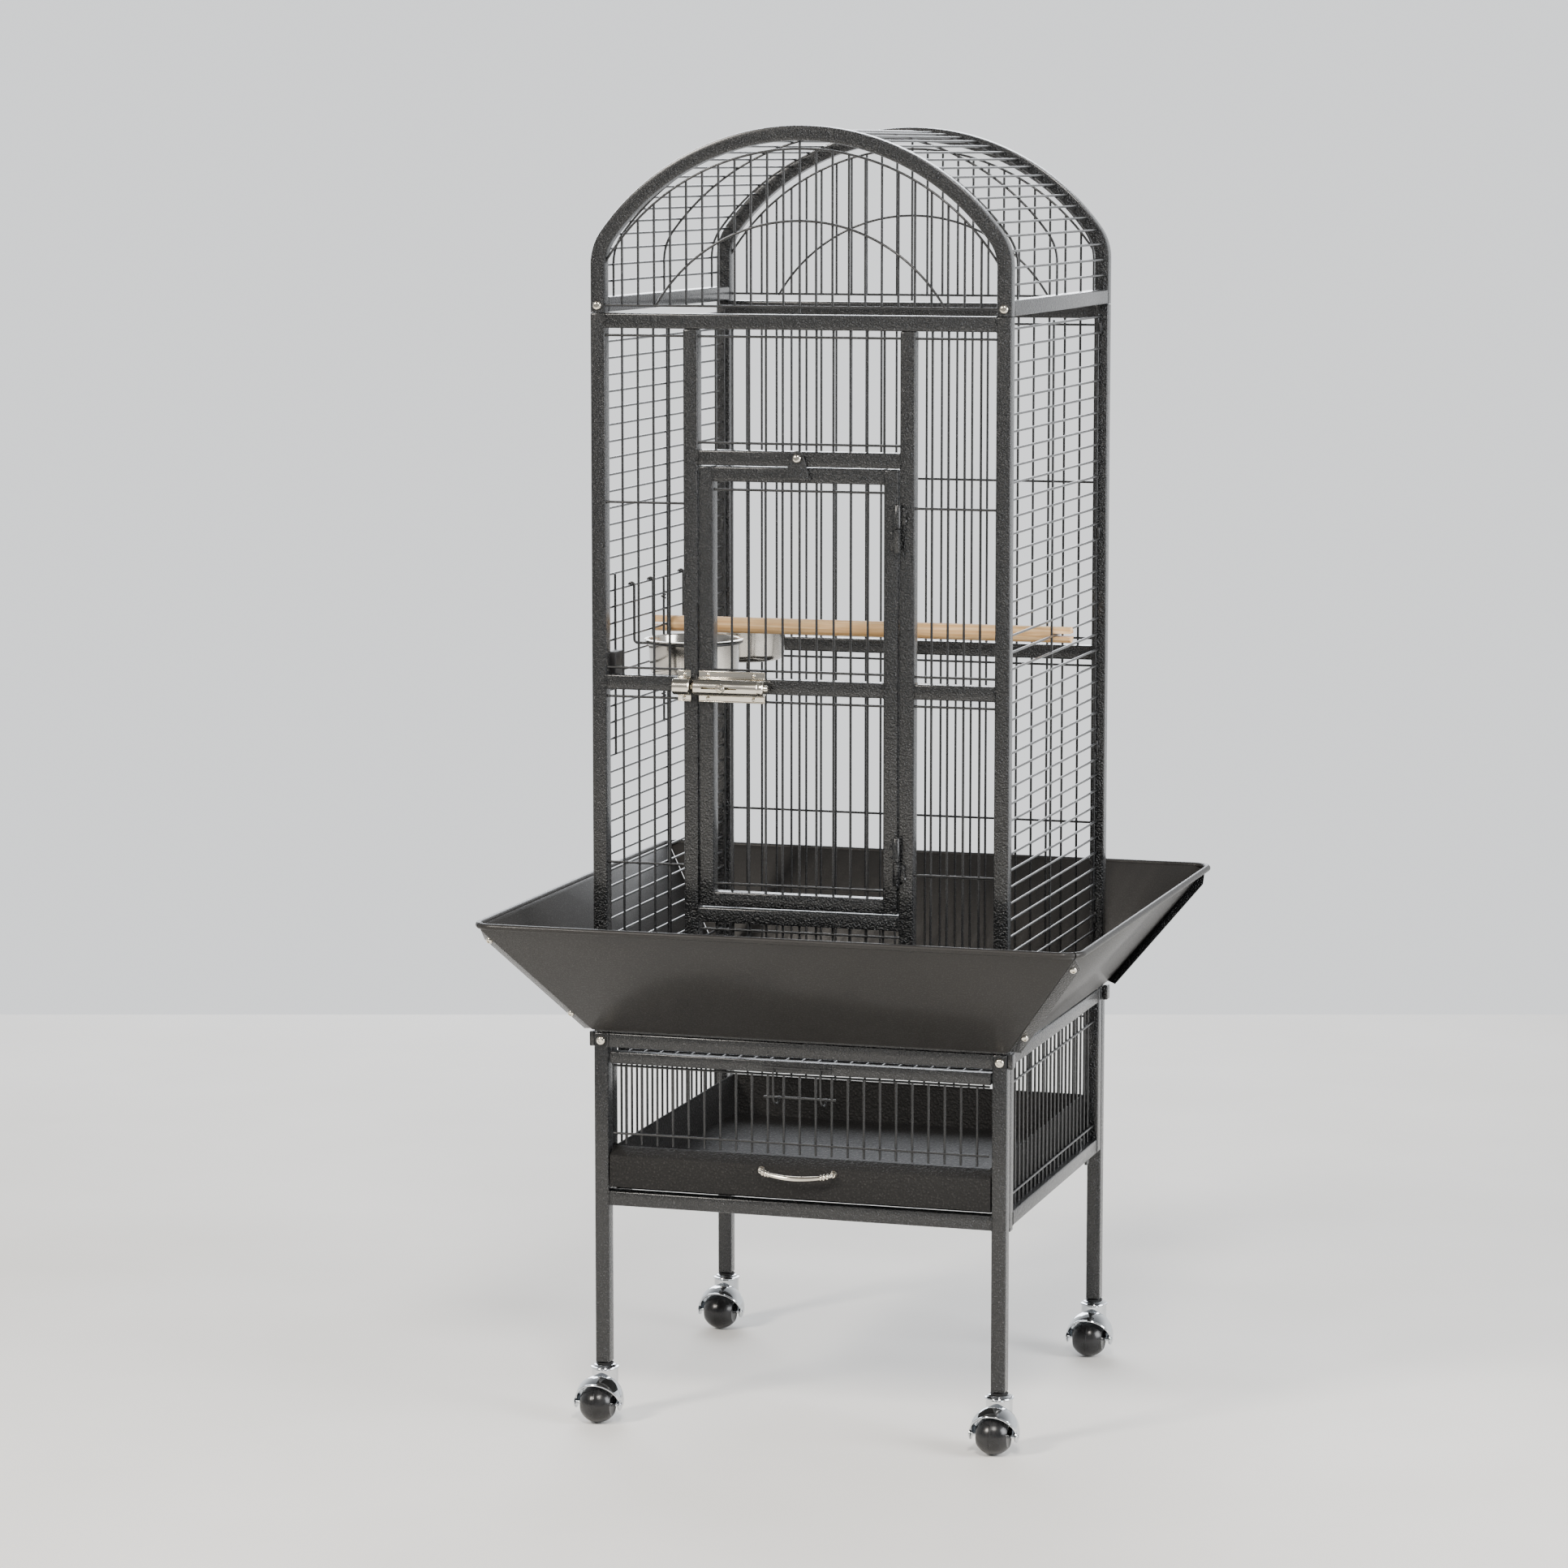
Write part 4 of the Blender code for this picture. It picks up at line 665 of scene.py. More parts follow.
def archTube(side):
    # a flat square ring of tube wall, pulled along the arch
    y = side * cage["postY"]
    outline = [(-1, -0.72), (-0.92, -0.92), (-0.72, -1), (0.72, -1), (0.92, -0.92), (1, -0.72), (1, 0.72),
               (0.92, 0.92), (0.72, 1), (-0.72, 1), (-0.92, 0.92), (-1, 0.72)]
    ring = bpy.data.curves.new("tube outline", "CURVE")
    ring.dimensions = "2D"
    run = ring.splines.new("POLY")
    run.points.add(len(outline) - 1)
    for spot, (a, b) in zip(run.points, outline):
        spot.co = (a * half, b * half, 0, 1)
    run.use_cyclic_u = True
    outlineObject = addToScene("tube outline", ring)
    line = bpy.data.curves.new("arch", "CURVE")
    line.dimensions = "3D"
    line.twist_mode = "MINIMUM"
    path = [(-post, dome["foot"])] + archPath(0.0, 64, 18) + [(post, dome["foot"])]
    run = line.splines.new("POLY")
    run.points.add(len(path) - 1)
    for spot, (x, z) in zip(run.points, path):
        spot.co = (x, y, z, 1)
    line.bevel_mode = "OBJECT"
    line.bevel_object = outlineObject
    line.use_fill_caps = True
    piece = addToScene("arch", line)
    focus(piece)
    bpy.ops.object.convert(target="MESH")
    piece = closeUp(bpy.context.object)
    bpy.data.objects.remove(outlineObject, do_unlink=True)
    return piece


def gableWires(side):
    spot = acrossWires(side)
    radius, centre = dome["arc"]
    decoRadius, decoCentre = dome["deco"]
    runs = []
    for x in evenly(-inner, inner, 23):
        crown = centre + math.sqrt(radius ** 2 - x * x)
        low = dome["low"] - 0.0065 if abs(x) < 0.001 else dome["low"] - wire
        runs.append((spot(x, low, 0), spot(x, crown + (0.0105 if abs(x) < 0.001 else 0.0), 0)))
    runs.append((spot(-inner, dome["low"], crossing), spot(inner, dome["low"], crossing)))
    parts = [addWires(runs), addBeads([spot(-inner, dome["low"], crossing), spot(inner, dome["low"], crossing)])]
    for size, height, reachX, lift in ((radius, centre, inner + 0.001, -0.0003),
                                       (decoRadius, decoCentre, dome["decoEnd"], crossing)):
        end = math.asin(min(1.0, reachX / size))
        arc = [(size * math.sin(a), height + size * math.cos(a)) for a in
               [-end + 2 * end * i / 72 for i in range(73)]]
        if lift > 0:        # the decorative arc runs down onto the lowest wire
            arc = [(-reachX - 0.003, dome["low"] - wire)] + arc + [(reachX + 0.003, dome["low"] - wire)]
        parts.append(addBent([spot(x, z, lift) for x, z in arc], wire, rounding=2))
    return joinAll(parts)


for place, side in (("front", -1), ("back", 1)):
    finishPiece(archTube(side), f"{place}Arch", hammertone, "hammertone_black", "cage", f"dome_{place}_gable")
    finishPiece(gableWires(side), f"{place}GableWires", wireCoat, "hammertone_black", "cage", smooth=60)

outward = 0.0030
line = archPath(outward, 96, 40)
line = [(-post - outward, dome["railTop"])] + line + [(post + outward, dome["railTop"])]
lengths = [0.0]
for (x0, z0), (x1, z1) in zip(line, line[1:]):
    lengths.append(lengths[-1] + math.hypot(x1 - x0, z1 - z0))


def alongRoof(distance, inside):
    i = max(k for k in range(len(line) - 1) if lengths[k] <= distance + 1e-9)
    (x0, z0), (x1, z1) = line[i], line[i + 1]
    step = math.hypot(x1 - x0, z1 - z0)
    t = (distance - lengths[i]) / step
    return (x0 + (x1 - x0) * t + (z1 - z0) / step * inside, z0 + (z1 - z0) * t - (x1 - x0) / step * inside)


depthCount = round((lengths[-1] - 0.016) / cage["pitch"])
places = [0.016 + (lengths[-1] - 0.032) * i / depthCount for i in range(depthCount + 1)]
runs = []
for distance in places:
    x, z = alongRoof(distance, 0.0)
    runs.append(((x, -reach, z), (x, reach, z)))
roofParts = [addWires(runs), addBeads([end for run in runs for end in run], 0.0015)]
for y in (-0.170, 0.0, 0.170):
    arch = [alongRoof(lengths[-1] * i / 160, crossing) for i in range(161)]
    roofParts.append(addBent([(x, y, z) for x, z in arch], wire, rounding=2))
finishPiece(joinAll(roofParts), "roofWires", wireCoat, "hammertone_black", "cage", "roof_panel", smooth=60)
roofRails = [addBlock((side * post - half, -reach, dome["foot"]), (side * post + half, reach, dome["railTop"]),
                      cage["tubeEdge"], 3) for side in (-1, 1)]
finishPiece(joinAll(roofRails), "roofRails", hammertone, "hammertone_black", "cage")
print("dome made")


# ---- seed guard: four sheets bolted at their corners

guard = {"low": (0.2300, 0.2264, 0.4295), "high": (0.3258, 0.3222, 0.5525), "sheet": 0.0012, "flange": 0.0135,
         "step": 0.0019, "tilt": 0.40,
         "boltAt": (0.0275, 0.1560), "boltOut": 0.0070, "rim": 0.0035, "corner": 0.0210}
lowX, lowY, lowZ = guard["low"]
highX, highY, highZ = guard["high"]
slope = math.hypot(highY - lowY, highZ - lowZ)
outShare, upShare = (highY - lowY) / slope, (highZ - lowZ) / slope


def spotSlope(turn):
    # s runs along a side, t up its slope and n off its outer face
    def spot(s, t, n):
        x, y = s, -((lowX if turn % 2 else lowY) + t * outShare + n * upShare)
        for i in range(turn):
            x, y = -y, x
        return Vector((x, y, lowZ + t * upShare - n * outShare))
    return spot


def addPlate(outline, thickness, spot, edge):
    corners = [spot(s, t, n) for s, t, n in outline] + [spot(s, t, n + thickness) for s, t, n in outline]
    count = len(outline)
    faces = [list(range(count)), list(range(2 * count - 1, count - 1, -1))]
    faces += [(i, (i + 1) % count, (i + 1) % count + count, i + count) for i in range(count)]
    mesh = bpy.data.meshes.new("plate")
    mesh.from_pydata(corners, [], faces)
    return roundEdges(closeUp(addToScene("plate", mesh)), edge)


def guardRim(turn, spot):
    # the rolled edge, with half a round corner at both ends
    r = guard["corner"]
    rimPoint = spot(0.0, slope + 0.0006, guard["rim"] - 0.0009)
    out, z = math.hypot(rimPoint.x, rimPoint.y), rimPoint.z
    halfAlong = out + (highX - highY) * (1 if turn % 2 == 0 else -1)
    path = []
    for side in (-1, 1):
        angles = [45 * i / 8 for i in range(9)]
        for angle in (reversed(angles) if side < 0 else angles):
            a = math.radians(angle * 0.97)
            path.append((side * (halfAlong - r + r * math.sin(a)), -(out - r + r * math.cos(a))))
    points = []
    for x, y in path:
        for i in range(turn):
            x, y = -y, x
        points.append((x, y, z))
    return addBent(points, guard["rim"], rounding=4)


def guardBolt(spot, s, t, n, lean):
    bolt = domedBolt((0, 0, 0), 1, 0.0040, "Z")
    where = spot(s, t, n)
    face = (spot(s, t, n + 1) - where) + (spot(s + lean, t, n) - where)
    turn = face.to_track_quat("Z", "Y").to_matrix().to_4x4()
    bolt.data.transform(Matrix.Translation(where) @ turn)
    return bolt


guardBolts, strips = [], []
for turn, place in enumerate(("front", "right", "back", "left")):
    spot = spotSlope(turn)
    flanged = turn % 2 == 0
    halfLow, halfHigh = (lowX, highX) if flanged else (lowY - 0.0013, highY - 0.0013)
    mitre = Vector((halfHigh - halfLow, slope)).normalized()
    beside = Vector((mitre.y, -mitre.x))
    length = math.hypot(halfHigh - halfLow, slope)
    start = Vector((halfLow, 0.0))
    shoulder = start + mitre * (length - 0.0085)
    right = [(start.x, 0.0, 0.0), (shoulder.x, shoulder.y, 0.0), (halfHigh - 0.0058, slope - 0.0030, 0.0),
             (halfHigh - 0.0105, slope, 0.0)]
    parts = [addPlate(right + [(-x, y, n) for x, y, n in reversed(right)], guard["sheet"], spot, 0.0004)]
    for side in (-1, 1) if flanged else ():
        strip = []
        for along, away in ((0.0, 0.0), (0.0, 1.0), (length - 0.0250, 1.0), (length - 0.0085, 0.12),
                            (length - 0.0085, 0.0)):
            p = start + mitre * along + beside * (away * guard["flange"] + 0.0006)
            strip.append((side * p.x, p.y, -guard["step"] - away * guard["flange"] * guard["tilt"]))
        strips.append(addPlate(strip, guard["sheet"], spot, 0.0004))
        for distance in guard["boltAt"]:
            p = start + mitre * distance + beside * guard["boltOut"]
            n = guard["sheet"] - guard["step"] - guard["boltOut"] * guard["tilt"]
            guardBolts.append(guardBolt(spot, side * p.x, p.y, n, side * guard["tilt"]))
    parts.append(guardRim(turn, spot))
    finishPiece(joinAll(parts), "guard_" + place, sheetCoat, "satin_black_sheet", "cage", "guard_" + place)
finishPiece(joinAll(guardBolts), "guardBolts", nickelPlate, "bright_nickel", "cage")
finishPiece(joinAll(strips), "guardFlanges", hammertone, "satin_black_sheet", "cage")
print("seed guard made")


# ---- stand

stand = {"leg": 0.0620, "lowRail": 0.2447, "top": 0.4175, "legTop": 0.4254, "wireLow": 0.2527, "wireHigh": 0.4095,
         "crossLow": 0.2680, "crossHigh": 0.3880}
for place, side in (("front", -1), ("back", 1)):
    bars = tubeFrame([(-post, stand["leg"], stand["legTop"]), (post, stand["leg"], stand["legTop"])],
                     [(stand["lowRail"], -inner, inner), (stand["top"], -inner, inner)], spotAcross(side))
    finishPiece(bars, f"stand_{place}Frame", hammertone, "hammertone_black", "cage", f"stand_{place}_frame")
uprights = [(x, stand["wireLow"], stand["wireHigh"]) for x in evenly(-inner, inner, 23)]
crosses = [(z, -inner, inner) for z in (stand["crossLow"], stand["crossHigh"])]
finishPiece(gridWires(uprights, crosses, acrossWires(1), crossing), "stand_backWires", wireCoat, "hammertone_black",
            "cage", "stand_back_wires", smooth=60)

sidePost = cage["innerY"] - half - 0.0003
sideInner = sidePost - half
for place, side in (("left", -1), ("right", 1)):
    bars = tubeFrame([(-sidePost, stand["lowRail"] - half, stand["top"] + half),
                      (sidePost, stand["lowRail"] - half, stand["top"] + half)],
                     [(stand["lowRail"], -sideInner, sideInner), (stand["top"], -sideInner, sideInner)],
                     spotAlong(side))
    ledges = []
    for near1, near2, low, high in ((0.1960, 0.2135, 0.2511, 0.2527), (0.2020, 0.2135, 0.3998, 0.4014),
                                    (0.2119, 0.2135, 0.3998, 0.4130)):
        ends = sorted((side * near1, side * near2))
        ledges.append(addBlock((ends[0], -0.190, low), (ends[1], 0.190, high), 0.0004))
    for y in (-0.1755, 0.1755):     # hanging tabs under the lower rail
        ends = sorted((side * (post - 0.0015), side * (post + 0.0015)))
        ledges.append(addBlock((ends[0], y - 0.006, stand["lowRail"] - half - 0.0100),
                               (ends[1], y + 0.006, stand["lowRail"] - half + 0.0010), 0.0007))
    finishPiece(joinAll([bars] + ledges), f"stand_{place}Frame", hammertone, "hammertone_black", "cage",
                f"stand_{place}_grille")
    uprights = [(y, stand["wireLow"], stand["wireHigh"]) for y in evenly(-sideInner, sideInner, 21)]
    crosses = [(z, -sideInner, sideInner) for z in (stand["crossLow"], stand["crossHigh"])]
    finishPiece(gridWires(uprights, crosses, alongWires(side), crossing), f"stand_{place}Wires", wireCoat,
                "hammertone_black", "cage", smooth=60)

standBolts = [domedBolt((side * post, -0.2253, 0.4169), -1, 0.0050) for side in (-1, 1)]
finishPiece(joinAll(standBolts), "standBolts", nickelPlate, "bright_nickel", "cage")
brackets = []
for side in (-1, 1):
    for end in (-1, 1):
        ends = sorted((side * (post + half + 0.0002), side * (post + half + 0.0058)))
        brackets.append(addBlock((ends[0], end * cage["postY"] - 0.0065, 0.4100),
                                 (ends[1], end * cage["postY"] + 0.0065, 0.4262), 0.0012))
finishPiece(joinAll(brackets), "standBrackets", hammertone, "hammertone_black", "cage")
print("stand made")


# ---- casters: hooded ball on a swivelling stem

caster = {"ball": 0.0210, "back": -0.0230, "shell": 0.0265, "shellBack": 0.0050, "shellUp": 0.0035, "wall": 0.0012,
          "front": 119, "rear": -14, "housing": 0.0143, "housingLow": 0.0300, "housingTop": 0.0548}


def keepAbove(piece, centre, angle):
    # cuts a shell along a plane through the axle
    focus(piece)
    bpy.ops.object.mode_set(mode="EDIT")
    bpy.ops.mesh.select_all(action="SELECT")
    facing = (0, math.cos(angle), math.sin(angle))
    bpy.ops.mesh.bisect(plane_co=centre, plane_no=facing, use_fill=True, clear_inner=True)
    bpy.ops.object.mode_set(mode="OBJECT")


def alongShell(centre, shell, angle, share):
    # the edge left where a plane through the axle cuts the shell
    turn, roll = math.pi * share, math.radians(angle)
    along, facing = Vector((0, math.cos(roll), math.sin(roll))), Vector((0, -math.sin(roll), math.cos(roll)))
    away = (shell - centre).dot(facing)
    size = math.sqrt(caster["shell"] ** 2 - away ** 2) - caster["wall"] / 2
    middle = shell - facing * away
    return middle + Vector((size * math.cos(turn), 0, 0)) + along * size * math.sin(turn)


def addBallForm(centre, radius, segments=48):
    bpy.ops.object.select_all(action="DESELECT")
    bpy.ops.mesh.primitive_uv_sphere_add(segments=segments, ring_count=segments // 2, radius=radius)
    form = bpy.context.object
    form.data.transform(Matrix.Translation(centre) @ Matrix.Rotation(math.pi / 2, 4, "Y"))
    return form


def casterHood(x, y):
    # a pressed dome set off from the stem, open at the front and below, with a round housing behind it
    centre = Vector((x, y + caster["back"], caster["ball"]))
    shell = centre + Vector((0, caster["shellBack"], caster["shellUp"]))
    hood = addBallForm(shell, caster["shell"], 56)
    cutBy(hood, addRod(caster["housing"], (x, y, caster["housingLow"]), (x, y, caster["housingTop"]), 56), "UNION")
    keepAbove(hood, centre, math.radians(caster["front"] - 90))
    keepAbove(hood, centre, math.radians(caster["rear"] + 90))
    cutBy(closeUp(hood), addBallForm(shell, caster["shell"] - caster["wall"], 56))
    parts = [hood]
    for angle, thick in ((caster["front"], 0.0011), (caster["rear"], 0.0009)):      # rolled lips
        parts.append(addBent([alongShell(centre, shell, angle, i / 24) for i in range(25)], thick))
    for side in (-1, 1):        # ears that carry the riveted axle
        ear = [(0, 0.0238), (0.0056, 0.0238), (0.0062, 0.0246), (0.0060, 0.0257), (0.0050, 0.0263), (0.0028, 0.0265),
               (0.0025, 0.0272), (0.0016, 0.0276), (0, 0.0277)]
        parts.append(lathe([(r, side * along) for r, along in ear], centre, "X", 32))
    collar = [(0, 0.0544), (0.0138, 0.0544), (0.0150, 0.0550), (0.0156, 0.0558), (0.0156, 0.0566), (0.0150, 0.0574),
              (0.0130, 0.0577), (0.0124, 0.0582), (0.0120, 0.0592), (0.0112, 0.0597), (0, 0.0598)]
    parts.append(lathe(collar, (x, y, 0), "Z", 56))
    parts.append(addRod(0.0020, centre - Vector((0.0240, 0, 0)), centre + Vector((0.0240, 0, 0)), 16))
    return joinAll(parts)


def casterBall(x, y):
    # two moulded halves with a raised seam, flats and an axle hole
    r, flat, bore = caster["ball"], 0.0168, 0.0025
    first = math.acos(flat / r)
    profile = []
    for i in range(33):
        angle = first + (math.pi - 2 * first) * i / 32
        along = -r * math.cos(angle)
        profile.append((r * math.sin(angle) - 0.0003, along))
    middle = len(profile) // 2
    seam = [(r - 0.0004, -0.0014), (r - 0.0004, -0.0009), (r, -0.0006), (r, 0.0006), (r - 0.0004, 0.0009),
            (r - 0.0004, 0.0014)]
    profile = profile[:middle] + seam + profile[middle + 1:]
    profile += [(0.0090, flat - 0.0012), (bore, flat - 0.0012), (bore, -flat + 0.0012), (0.0090, -flat + 0.0012)]
    return lathe(profile, (x, y + caster["back"], r), "X", 72, closed=True)


for end, sideY in (("front", -1), ("back", 1)):
    for side, sideX in (("left", -1), ("right", 1)):
        tag = f"{end}_{side}"
        x, y = sideX * post, sideY * cage["postY"]
        plug = lathe([(0, 0.0600), (0.0088, 0.0600), (0.0096, 0.0604), (0.0097, 0.0612), (0.0090, 0.0618),
                      (0, 0.0618)],
                     (x, y, 0), "Z", 32)
        finishPiece(plug, "casterSocket_" + tag, latchPlastic, "black_plastic", "cage", "caster_socket_" + tag)
        finishPiece(casterHood(x, y), "casterHood_" + tag, chromePlate, "bright_nickel", "caster_" + tag,
                    "caster_hood_" + tag)
        finishPiece(casterBall(x, y), "casterBall_" + tag, ballPlastic, "black_plastic", "ball_" + tag,
                    "caster_ball_" + tag, smooth=30)
print("casters made")


# ---- cups, their rings and the perch

cup = {"x": -0.1600, "y": {"front": -0.0850, "rear": 0.0850}, "rim": 0.8390, "rimRadius": 0.0543, "wall": 0.0497,
       "wireReach": 0.0320, "ringWire": 0.00150}
cupBody = {"front": "front_cup", "rear": "rear_cup"}
ringBody = {"front": "feeder_door", "rear": "cage"}
for place, y in cup["y"].items():
    w, rim = cup["wall"], cup["rimRadius"]
    profile = [(0, -0.0400), (0.0400, -0.0400), (0.0442, -0.0390), (0.0470, -0.0362), (0.0482, -0.0320), (w, -0.0028),
               (w + 0.0010, -0.0018), (rim - 0.0012, -0.0018), (rim - 0.0003, -0.0015), (rim, -0.0009),
               (rim - 0.0003, -0.0003), (rim - 0.0012, 0.0), (w + 0.0004, 0.0), (w - 0.0008, -0.0008),
               (w - 0.0014, -0.0028), (0.0471, -0.0318), (0.0460, -0.0355), (0.0436, -0.0380), (0.0398, -0.0389),
               (0, -0.0389)]
    finishPiece(lathe(profile, (cup["x"], y, cup["rim"]), "Z", 96), "cup_" + place, spunStainless, "stainless",
                cupBody[place], "cup_" + place, smooth=32)
    radius, z = w + wire + 0.0009, cup["rim"] - 0.0018 - wire - 0.0004
    circle = [(cup["x"] + radius * math.cos(math.tau * i / 72), y + radius * math.sin(math.tau * i / 72), z)
              for i in range(72)]
    parts = [addBent(circle, cup["ringWire"], closed=True)]
    start = cup["x"] - math.sqrt(radius ** 2 - cup["wireReach"] ** 2)
    hook, crown = 2 * wire + 0.0004, cage["perchZ"] + 3 * cage["pitch"]
    for side in (-1, 1):
        run = [(start + 0.0008, z), (-post + hook, z), (-post + hook, crown),
               (-post + hook * 0.7, crown + hook * 0.7),
               (-post, crown + hook), (-post - hook * 0.7, crown + hook * 0.7), (-post - hook, crown),
               (-post - hook, crown - 0.0015)]
        path = roundCorners([(x, y + side * cup["wireReach"], height) for x, height in run], 0.0045, 5)
        parts.append(addBent(path, cup["ringWire"]))
    parts.append(addBeads([(start + 0.0008, y + side * cup["wireReach"], z) for side in (-1, 1)], 0.0021))
    finishPiece(joinAll(parts), "cupRing_" + place, wireCoat, "hammertone_black", ringBody[place],
                "cup_ring_" + place, smooth=60)

dowel = {"radius": 0.00875, "end": 0.2380, "y": 0.0108, "slot": wire + 0.0005}
perch = addRod(dowel["radius"], (-dowel["end"], dowel["y"], cage["perchZ"]),
               (dowel["end"], dowel["y"], cage["perchZ"]),
               48, 0.0008)
for side in (-1, 1):
    ends = sorted((side * (post - 0.0035), side * (dowel["end"] + 0.002)))
    cutBy(perch, addBlock((ends[0], dowel["y"] - 0.012, cage["perchZ"] - dowel["slot"]),
                          (ends[1], dowel["y"] + 0.012, cage["perchZ"] + dowel["slot"]), 0))
finishPiece(perch, "perchDowel", pine, "pine", "cage", "perch")
print("cups and perch made")


# ---- feeder latch

latch = {"y": -0.1915, "z": cage["perchZ"] - 1.5 * cage["pitch"], "out": -post - wire - 0.0006}
disc = lathe([(0, 0), (0.0092, 0), (0.0097, -0.0006), (0.0095, -0.0024), (0.0086, -0.0031), (0.0060, -0.0036),
              (0.0056, -0.0060), (0, -0.0060)], (latch["out"], latch["y"], latch["z"]), "X", 40)
tongue = addBlock((latch["out"] - 0.0029, latch["y"], latch["z"] - 0.0050),
                  (latch["out"] - 0.0002, latch["y"] + 0.0260, latch["z"] + 0.0050), 0.0010)
grip = addBlock((latch["out"] - 0.0135, latch["y"] - 0.0085, latch["z"] - 0.0026),
                (latch["out"] - 0.0046, latch["y"] + 0.0085, latch["z"] + 0.0026), 0.0015, 3)
finishPiece(joinAll([disc, tongue, grip]), "feederLatchKnob", latchPlastic, "black_plastic", "feeder_latch",
            "feeder_latch_knob")
finishPiece(carryOver("feeder_latch_block", 0.0016, 3), "feederLatchBlock", latchPlastic, "black_plastic", "cage",
            "feeder_latch_block")


# ---- tray with its handle

finishPiece(carryOver("debris_tray", 0.0005), "debrisTray", trayCoat, "satin_black_sheet", "tray", "debris_tray")
hem = [(-0.2083, -0.2090, 0.3000), (-0.2083, 0.2043, 0.3000), (0.2083, 0.2043, 0.3000), (0.2083, -0.2090, 0.3000)]
finishPiece(addBent(roundCorners(hem, 0.004, 4), 0.0012), "trayHem", trayCoat, "satin_black_sheet", "tray")

pull = {"reach": 0.0400, "x": 0.0, "z": 0.2865, "face": -0.2250, "out": 0.0150, "thick": 0.0021}
bow = []
for i in range(33):
    t = i / 32 * 2 - 1
    bow.append((pull["x"] + t * pull["reach"], pull["face"] - pull["out"] + 0.0062 * t * t,
                pull["z"] - 0.004 * (1 - t * t)))
foot = pull["face"] - 0.0003
leftFoot, rightFoot = [(pull["x"] + side * pull["reach"], foot, pull["z"]) for side in (-1, 1)]
pullPath = roundCorners([leftFoot] + bow + [rightFoot], 0.004, 4)
parts = [addBent(pullPath, pull["thick"], rounding=4, taper=lambda t: 0.85 + 0.45 * math.sin(math.pi * t))]
for side in (-1, 1):
    for k, size in ((0.90, 0.0033), (0.81, 0.0036), (0.73, 0.0031)):       # turned beads near both ends
        spot = side * k
        bpy.ops.object.select_all(action="DESELECT")
        bpy.ops.mesh.primitive_uv_sphere_add(segments=20, ring_count=12, radius=size)
        bead = bpy.context.object
        bead.scale = (0.62, 1.0, 1.0)
        bead.location = (pull["x"] + spot * pull["reach"], pull["face"] - pull["out"] + 0.0062 * spot * spot,
                         pull["z"] - 0.004 * (1 - spot * spot))
        parts.append(applyPlace(bead))
    foot = lathe([(0, 0), (0.0040, 0), (0.0044, -0.0008), (0.0036, -0.0026), (0.0028, -0.0040), (0, -0.0040)],
                 (pull["x"] + side * pull["reach"], pull["face"] - 0.0003, pull["z"]), "Y", 24)
    parts.append(foot)
finishPiece(joinAll(parts), "trayHandle", nickelPlate, "bright_nickel", "tray", "tray_handle")


# ---- floor grate, the gate that hangs under it, and the gate's hooks

grate = {"barLow": 0.3922, "barHalf": 0.0064, "barY": -0.2171, "level": 0.4033}
bar = addBlock((-inner + 0.0015, grate["barY"] - grate["barHalf"], grate["barLow"]),
               (inner - 0.0015, grate["barY"] + grate["barHalf"], grate["barLow"] + 2 * grate["barHalf"]), 0.0014, 3)
runs = [((x, grate["barY"] + grate["barHalf"] - 0.0008, grate["level"]), (x, 0.1912, grate["level"]))
        for x in evenly(-inner, inner, 23)]
runs += [((-0.2075, y, grate["level"] - 0.0006), (0.2075, y, grate["level"] - 0.0006))
         for y in (-0.1950, 0.0, 0.1900)]
finishPiece(bar, "grateBar", hammertone, "hammertone_black", "grate", "floor_grate")
finishPiece(addWires(runs), "grateWires", wireCoat, "hammertone_black", "grate", smooth=60)

gate = {"y": -0.2171, "top": 0.3892, "low": 0.3155, "tip": 0.3035, "short": 0.3650}


def spotGate(u, v, n):
    # a place on the gate, out from its face by n
    return u, gate["y"] - n, v


uprights = [(x, gate["tip"], gate["top"]) for x in evenly(-inner, inner, 23)]
runs = [(spotGate(x, a, 0), spotGate(x, b, 0)) for x, a, b in uprights]
runs += [(spotGate(-0.2085, gate["low"], crossing), spotGate(0.2085, gate["low"], crossing)),
         (spotGate(-0.2085, gate["top"], 0), spotGate(0.2085, gate["top"], 0)),
         (spotGate(-0.0400, gate["short"], 0.0006), spotGate(0.0400, gate["short"], 0.0006))]
finishPiece(addWires(runs), "frontGate", wireCoat, "hammertone_black", "gate", "front_gate", smooth=60)

hooks = {"y": -0.2263, "z": 0.3985, "x": (-0.0272, 0.0252), "thick": 0.00112}
parts = [addWires([((-0.0380, hooks["y"], hooks["z"]), (0.0380, hooks["y"], hooks["z"]))], hooks["thick"])]
for x in hooks["x"]:
    run = [(0.0, 0.0008), (0.0, 0.3640 - hooks["z"]), (0.0030, 0.3595 - hooks["z"]), (0.0092, 0.3575 - hooks["z"]),
           (0.0135, 0.3600 - hooks["z"]), (0.0145, 0.3655 - hooks["z"])]
    path = [(x + 0.0030 * i / 5, hooks["y"] + a, hooks["z"] + b) for i, (a, b) in enumerate(run)]
    parts.append(addBent(roundCorners(path, 0.003, 4), hooks["thick"]))
    parts.append(addBeads([(x, hooks["y"], hooks["z"])], 0.0018))
finishPiece(joinAll(parts), "gateHooks", wireCoat, "hammertone_black", "gate_latch", "gate_latch", smooth=60)
print("tray, grate and gate made")


# ---- studio

def paleFloor():
    look, shader, place = startMaterial("pale matt floor", Roughness=0.75)
    cloud = addNode(look, "ShaderNodeTexNoise", {"Scale": 2.5, "Detail": 4.0}, {"Vector": place}).outputs["Fac"]
    setLink(look, addRamp(look, cloud, [(0.3, "#e6e4df"), (0.7, "#eeece8")]), shader, "Base Color")
    return look


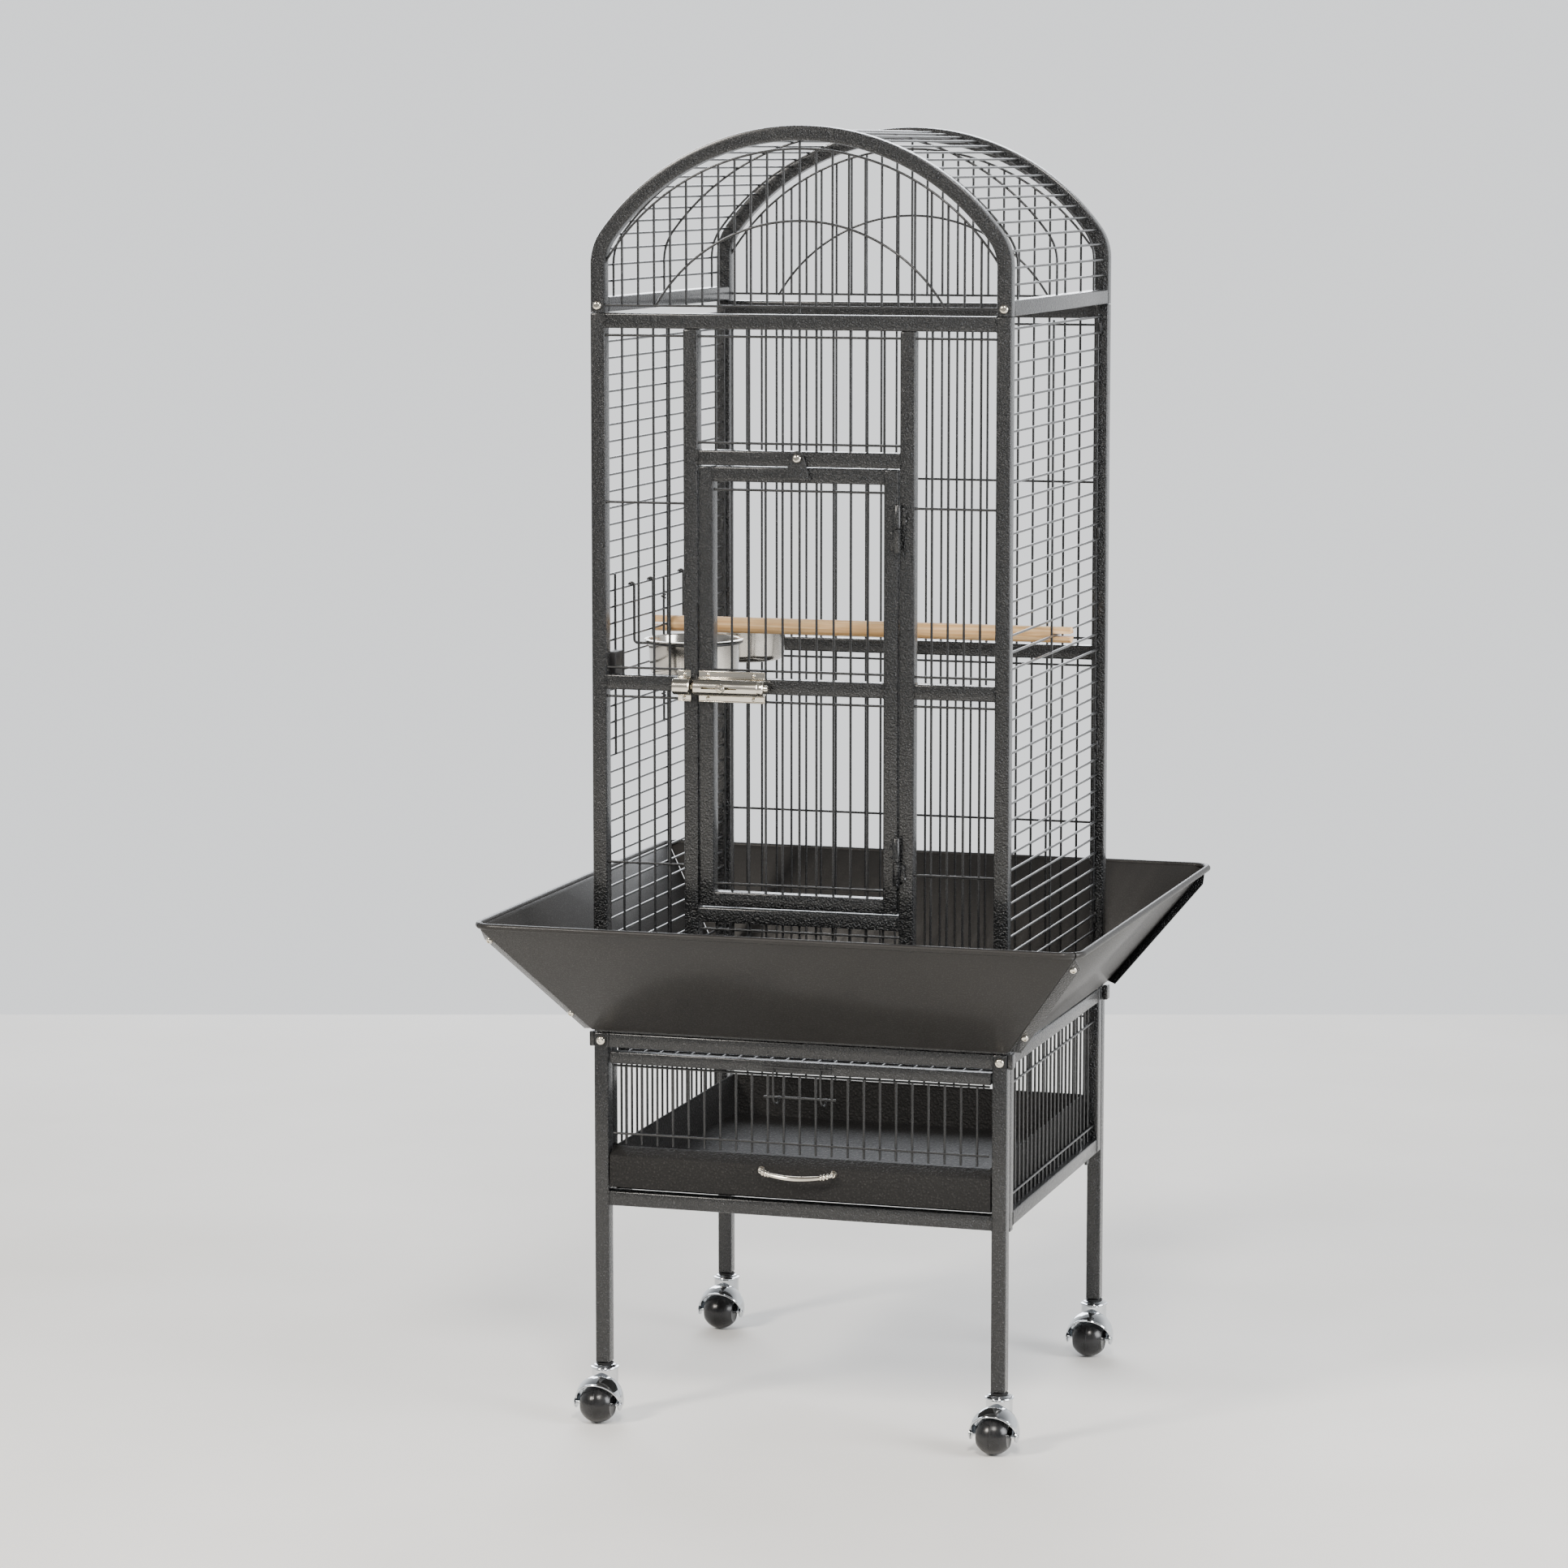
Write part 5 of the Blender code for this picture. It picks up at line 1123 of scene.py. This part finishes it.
view = {"at": (1.4369, -4.9710, 1.3625), "yaw": 0.2969, "down": 0.1322, "lens": 109.18, "floorEnd": 7.46}
bpy.ops.object.select_all(action="DESELECT")
bpy.ops.mesh.primitive_plane_add(size=1)
floor = bpy.context.object
floor.scale = (16.0, 12.0, 1.0)
floor.rotation_euler = (0, 0, view["yaw"])
ahead = Vector((-math.sin(view["yaw"]), math.cos(view["yaw"]), 0))
floor.location = Vector((view["at"][0], view["at"][1], 0)) + ahead * (view["floorEnd"] - 6.0)
applyPlace(floor)
floor.name = "studioFloor"
floor.data.materials.append(paleFloor())

world = bpy.context.scene.world or bpy.data.worlds.new("studio")
bpy.context.scene.world = world
world.use_nodes = True
around = addNode(world, "ShaderNodeTexCoord").outputs["Generated"]
axes = addNode(world, "ShaderNodeSeparateXYZ", links={"Vector": around}).outputs
depthLight = addNode(world, "ShaderNodeMapRange", {"From Min": -0.4, "From Max": 0.7, "To Min": 0.42, "To Max": 1.45},
                     {"Value": axes["Y"]}, interpolation_type="SMOOTHSTEP").outputs[0]
heightLight = addNode(world, "ShaderNodeMapRange", {"From Min": 0.25, "From Max": 0.95, "To Min": 1.0, "To Max": 0.35},
                      {"Value": axes["Z"]}, interpolation_type="SMOOTHSTEP").outputs[0]
strength = addNode(world, "ShaderNodeMath", {}, {0: depthLight, 1: heightLight}, operation="MULTIPLY").outputs[0]
backdrop = world.node_tree.nodes["Background"]
backdrop.inputs["Color"].default_value = linearColour("#eff1f3")
setLink(world, strength, backdrop, "Strength")

softLights = {
    "windowBehind": {"at": (-1.6, 4.0, 2.6), "aim": (0, 0, 0.9), "size": 3.0, "power": 200, "tint": "#f4f8ff"},
    "softKey": {"at": (-2.3, -3.5, 3.1), "aim": (0, 0, 0.7), "size": 0.9, "power": 190, "tint": "#fff8ef"},
    "highFront": {"at": (0.9, -2.6, 3.3), "aim": (0, 0, 0.9), "size": 0.8, "power": 110, "tint": "#fffaf4"},
    "fillRight": {"at": (3.4, -0.6, 1.7), "aim": (0, 0, 0.8), "size": 1.8, "power": 150, "tint": "#fbfcff"},
}
for name, setting in softLights.items():
    lamp = bpy.data.lights.new(name, "AREA")
    lamp.size = setting["size"]
    lamp.energy = setting["power"]
    lamp.color = linearColour(setting["tint"])[:3]
    holder = addToScene(name, lamp)
    holder.location = setting["at"]
    aim = Vector(setting["aim"]) - Vector(setting["at"])
    holder.rotation_euler = aim.to_track_quat("-Z", "Y").to_euler()

lens = bpy.data.cameras.new("viewCamera")
lens.lens = view["lens"]
lens.sensor_width = 36
camera = addToScene("viewCamera", lens)
camera.location = view["at"]
camera.rotation_euler = (math.pi / 2 - view["down"], 0, view["yaw"])
bpy.context.scene.camera = camera
bpy.context.view_layer.update()
print("studio ready")
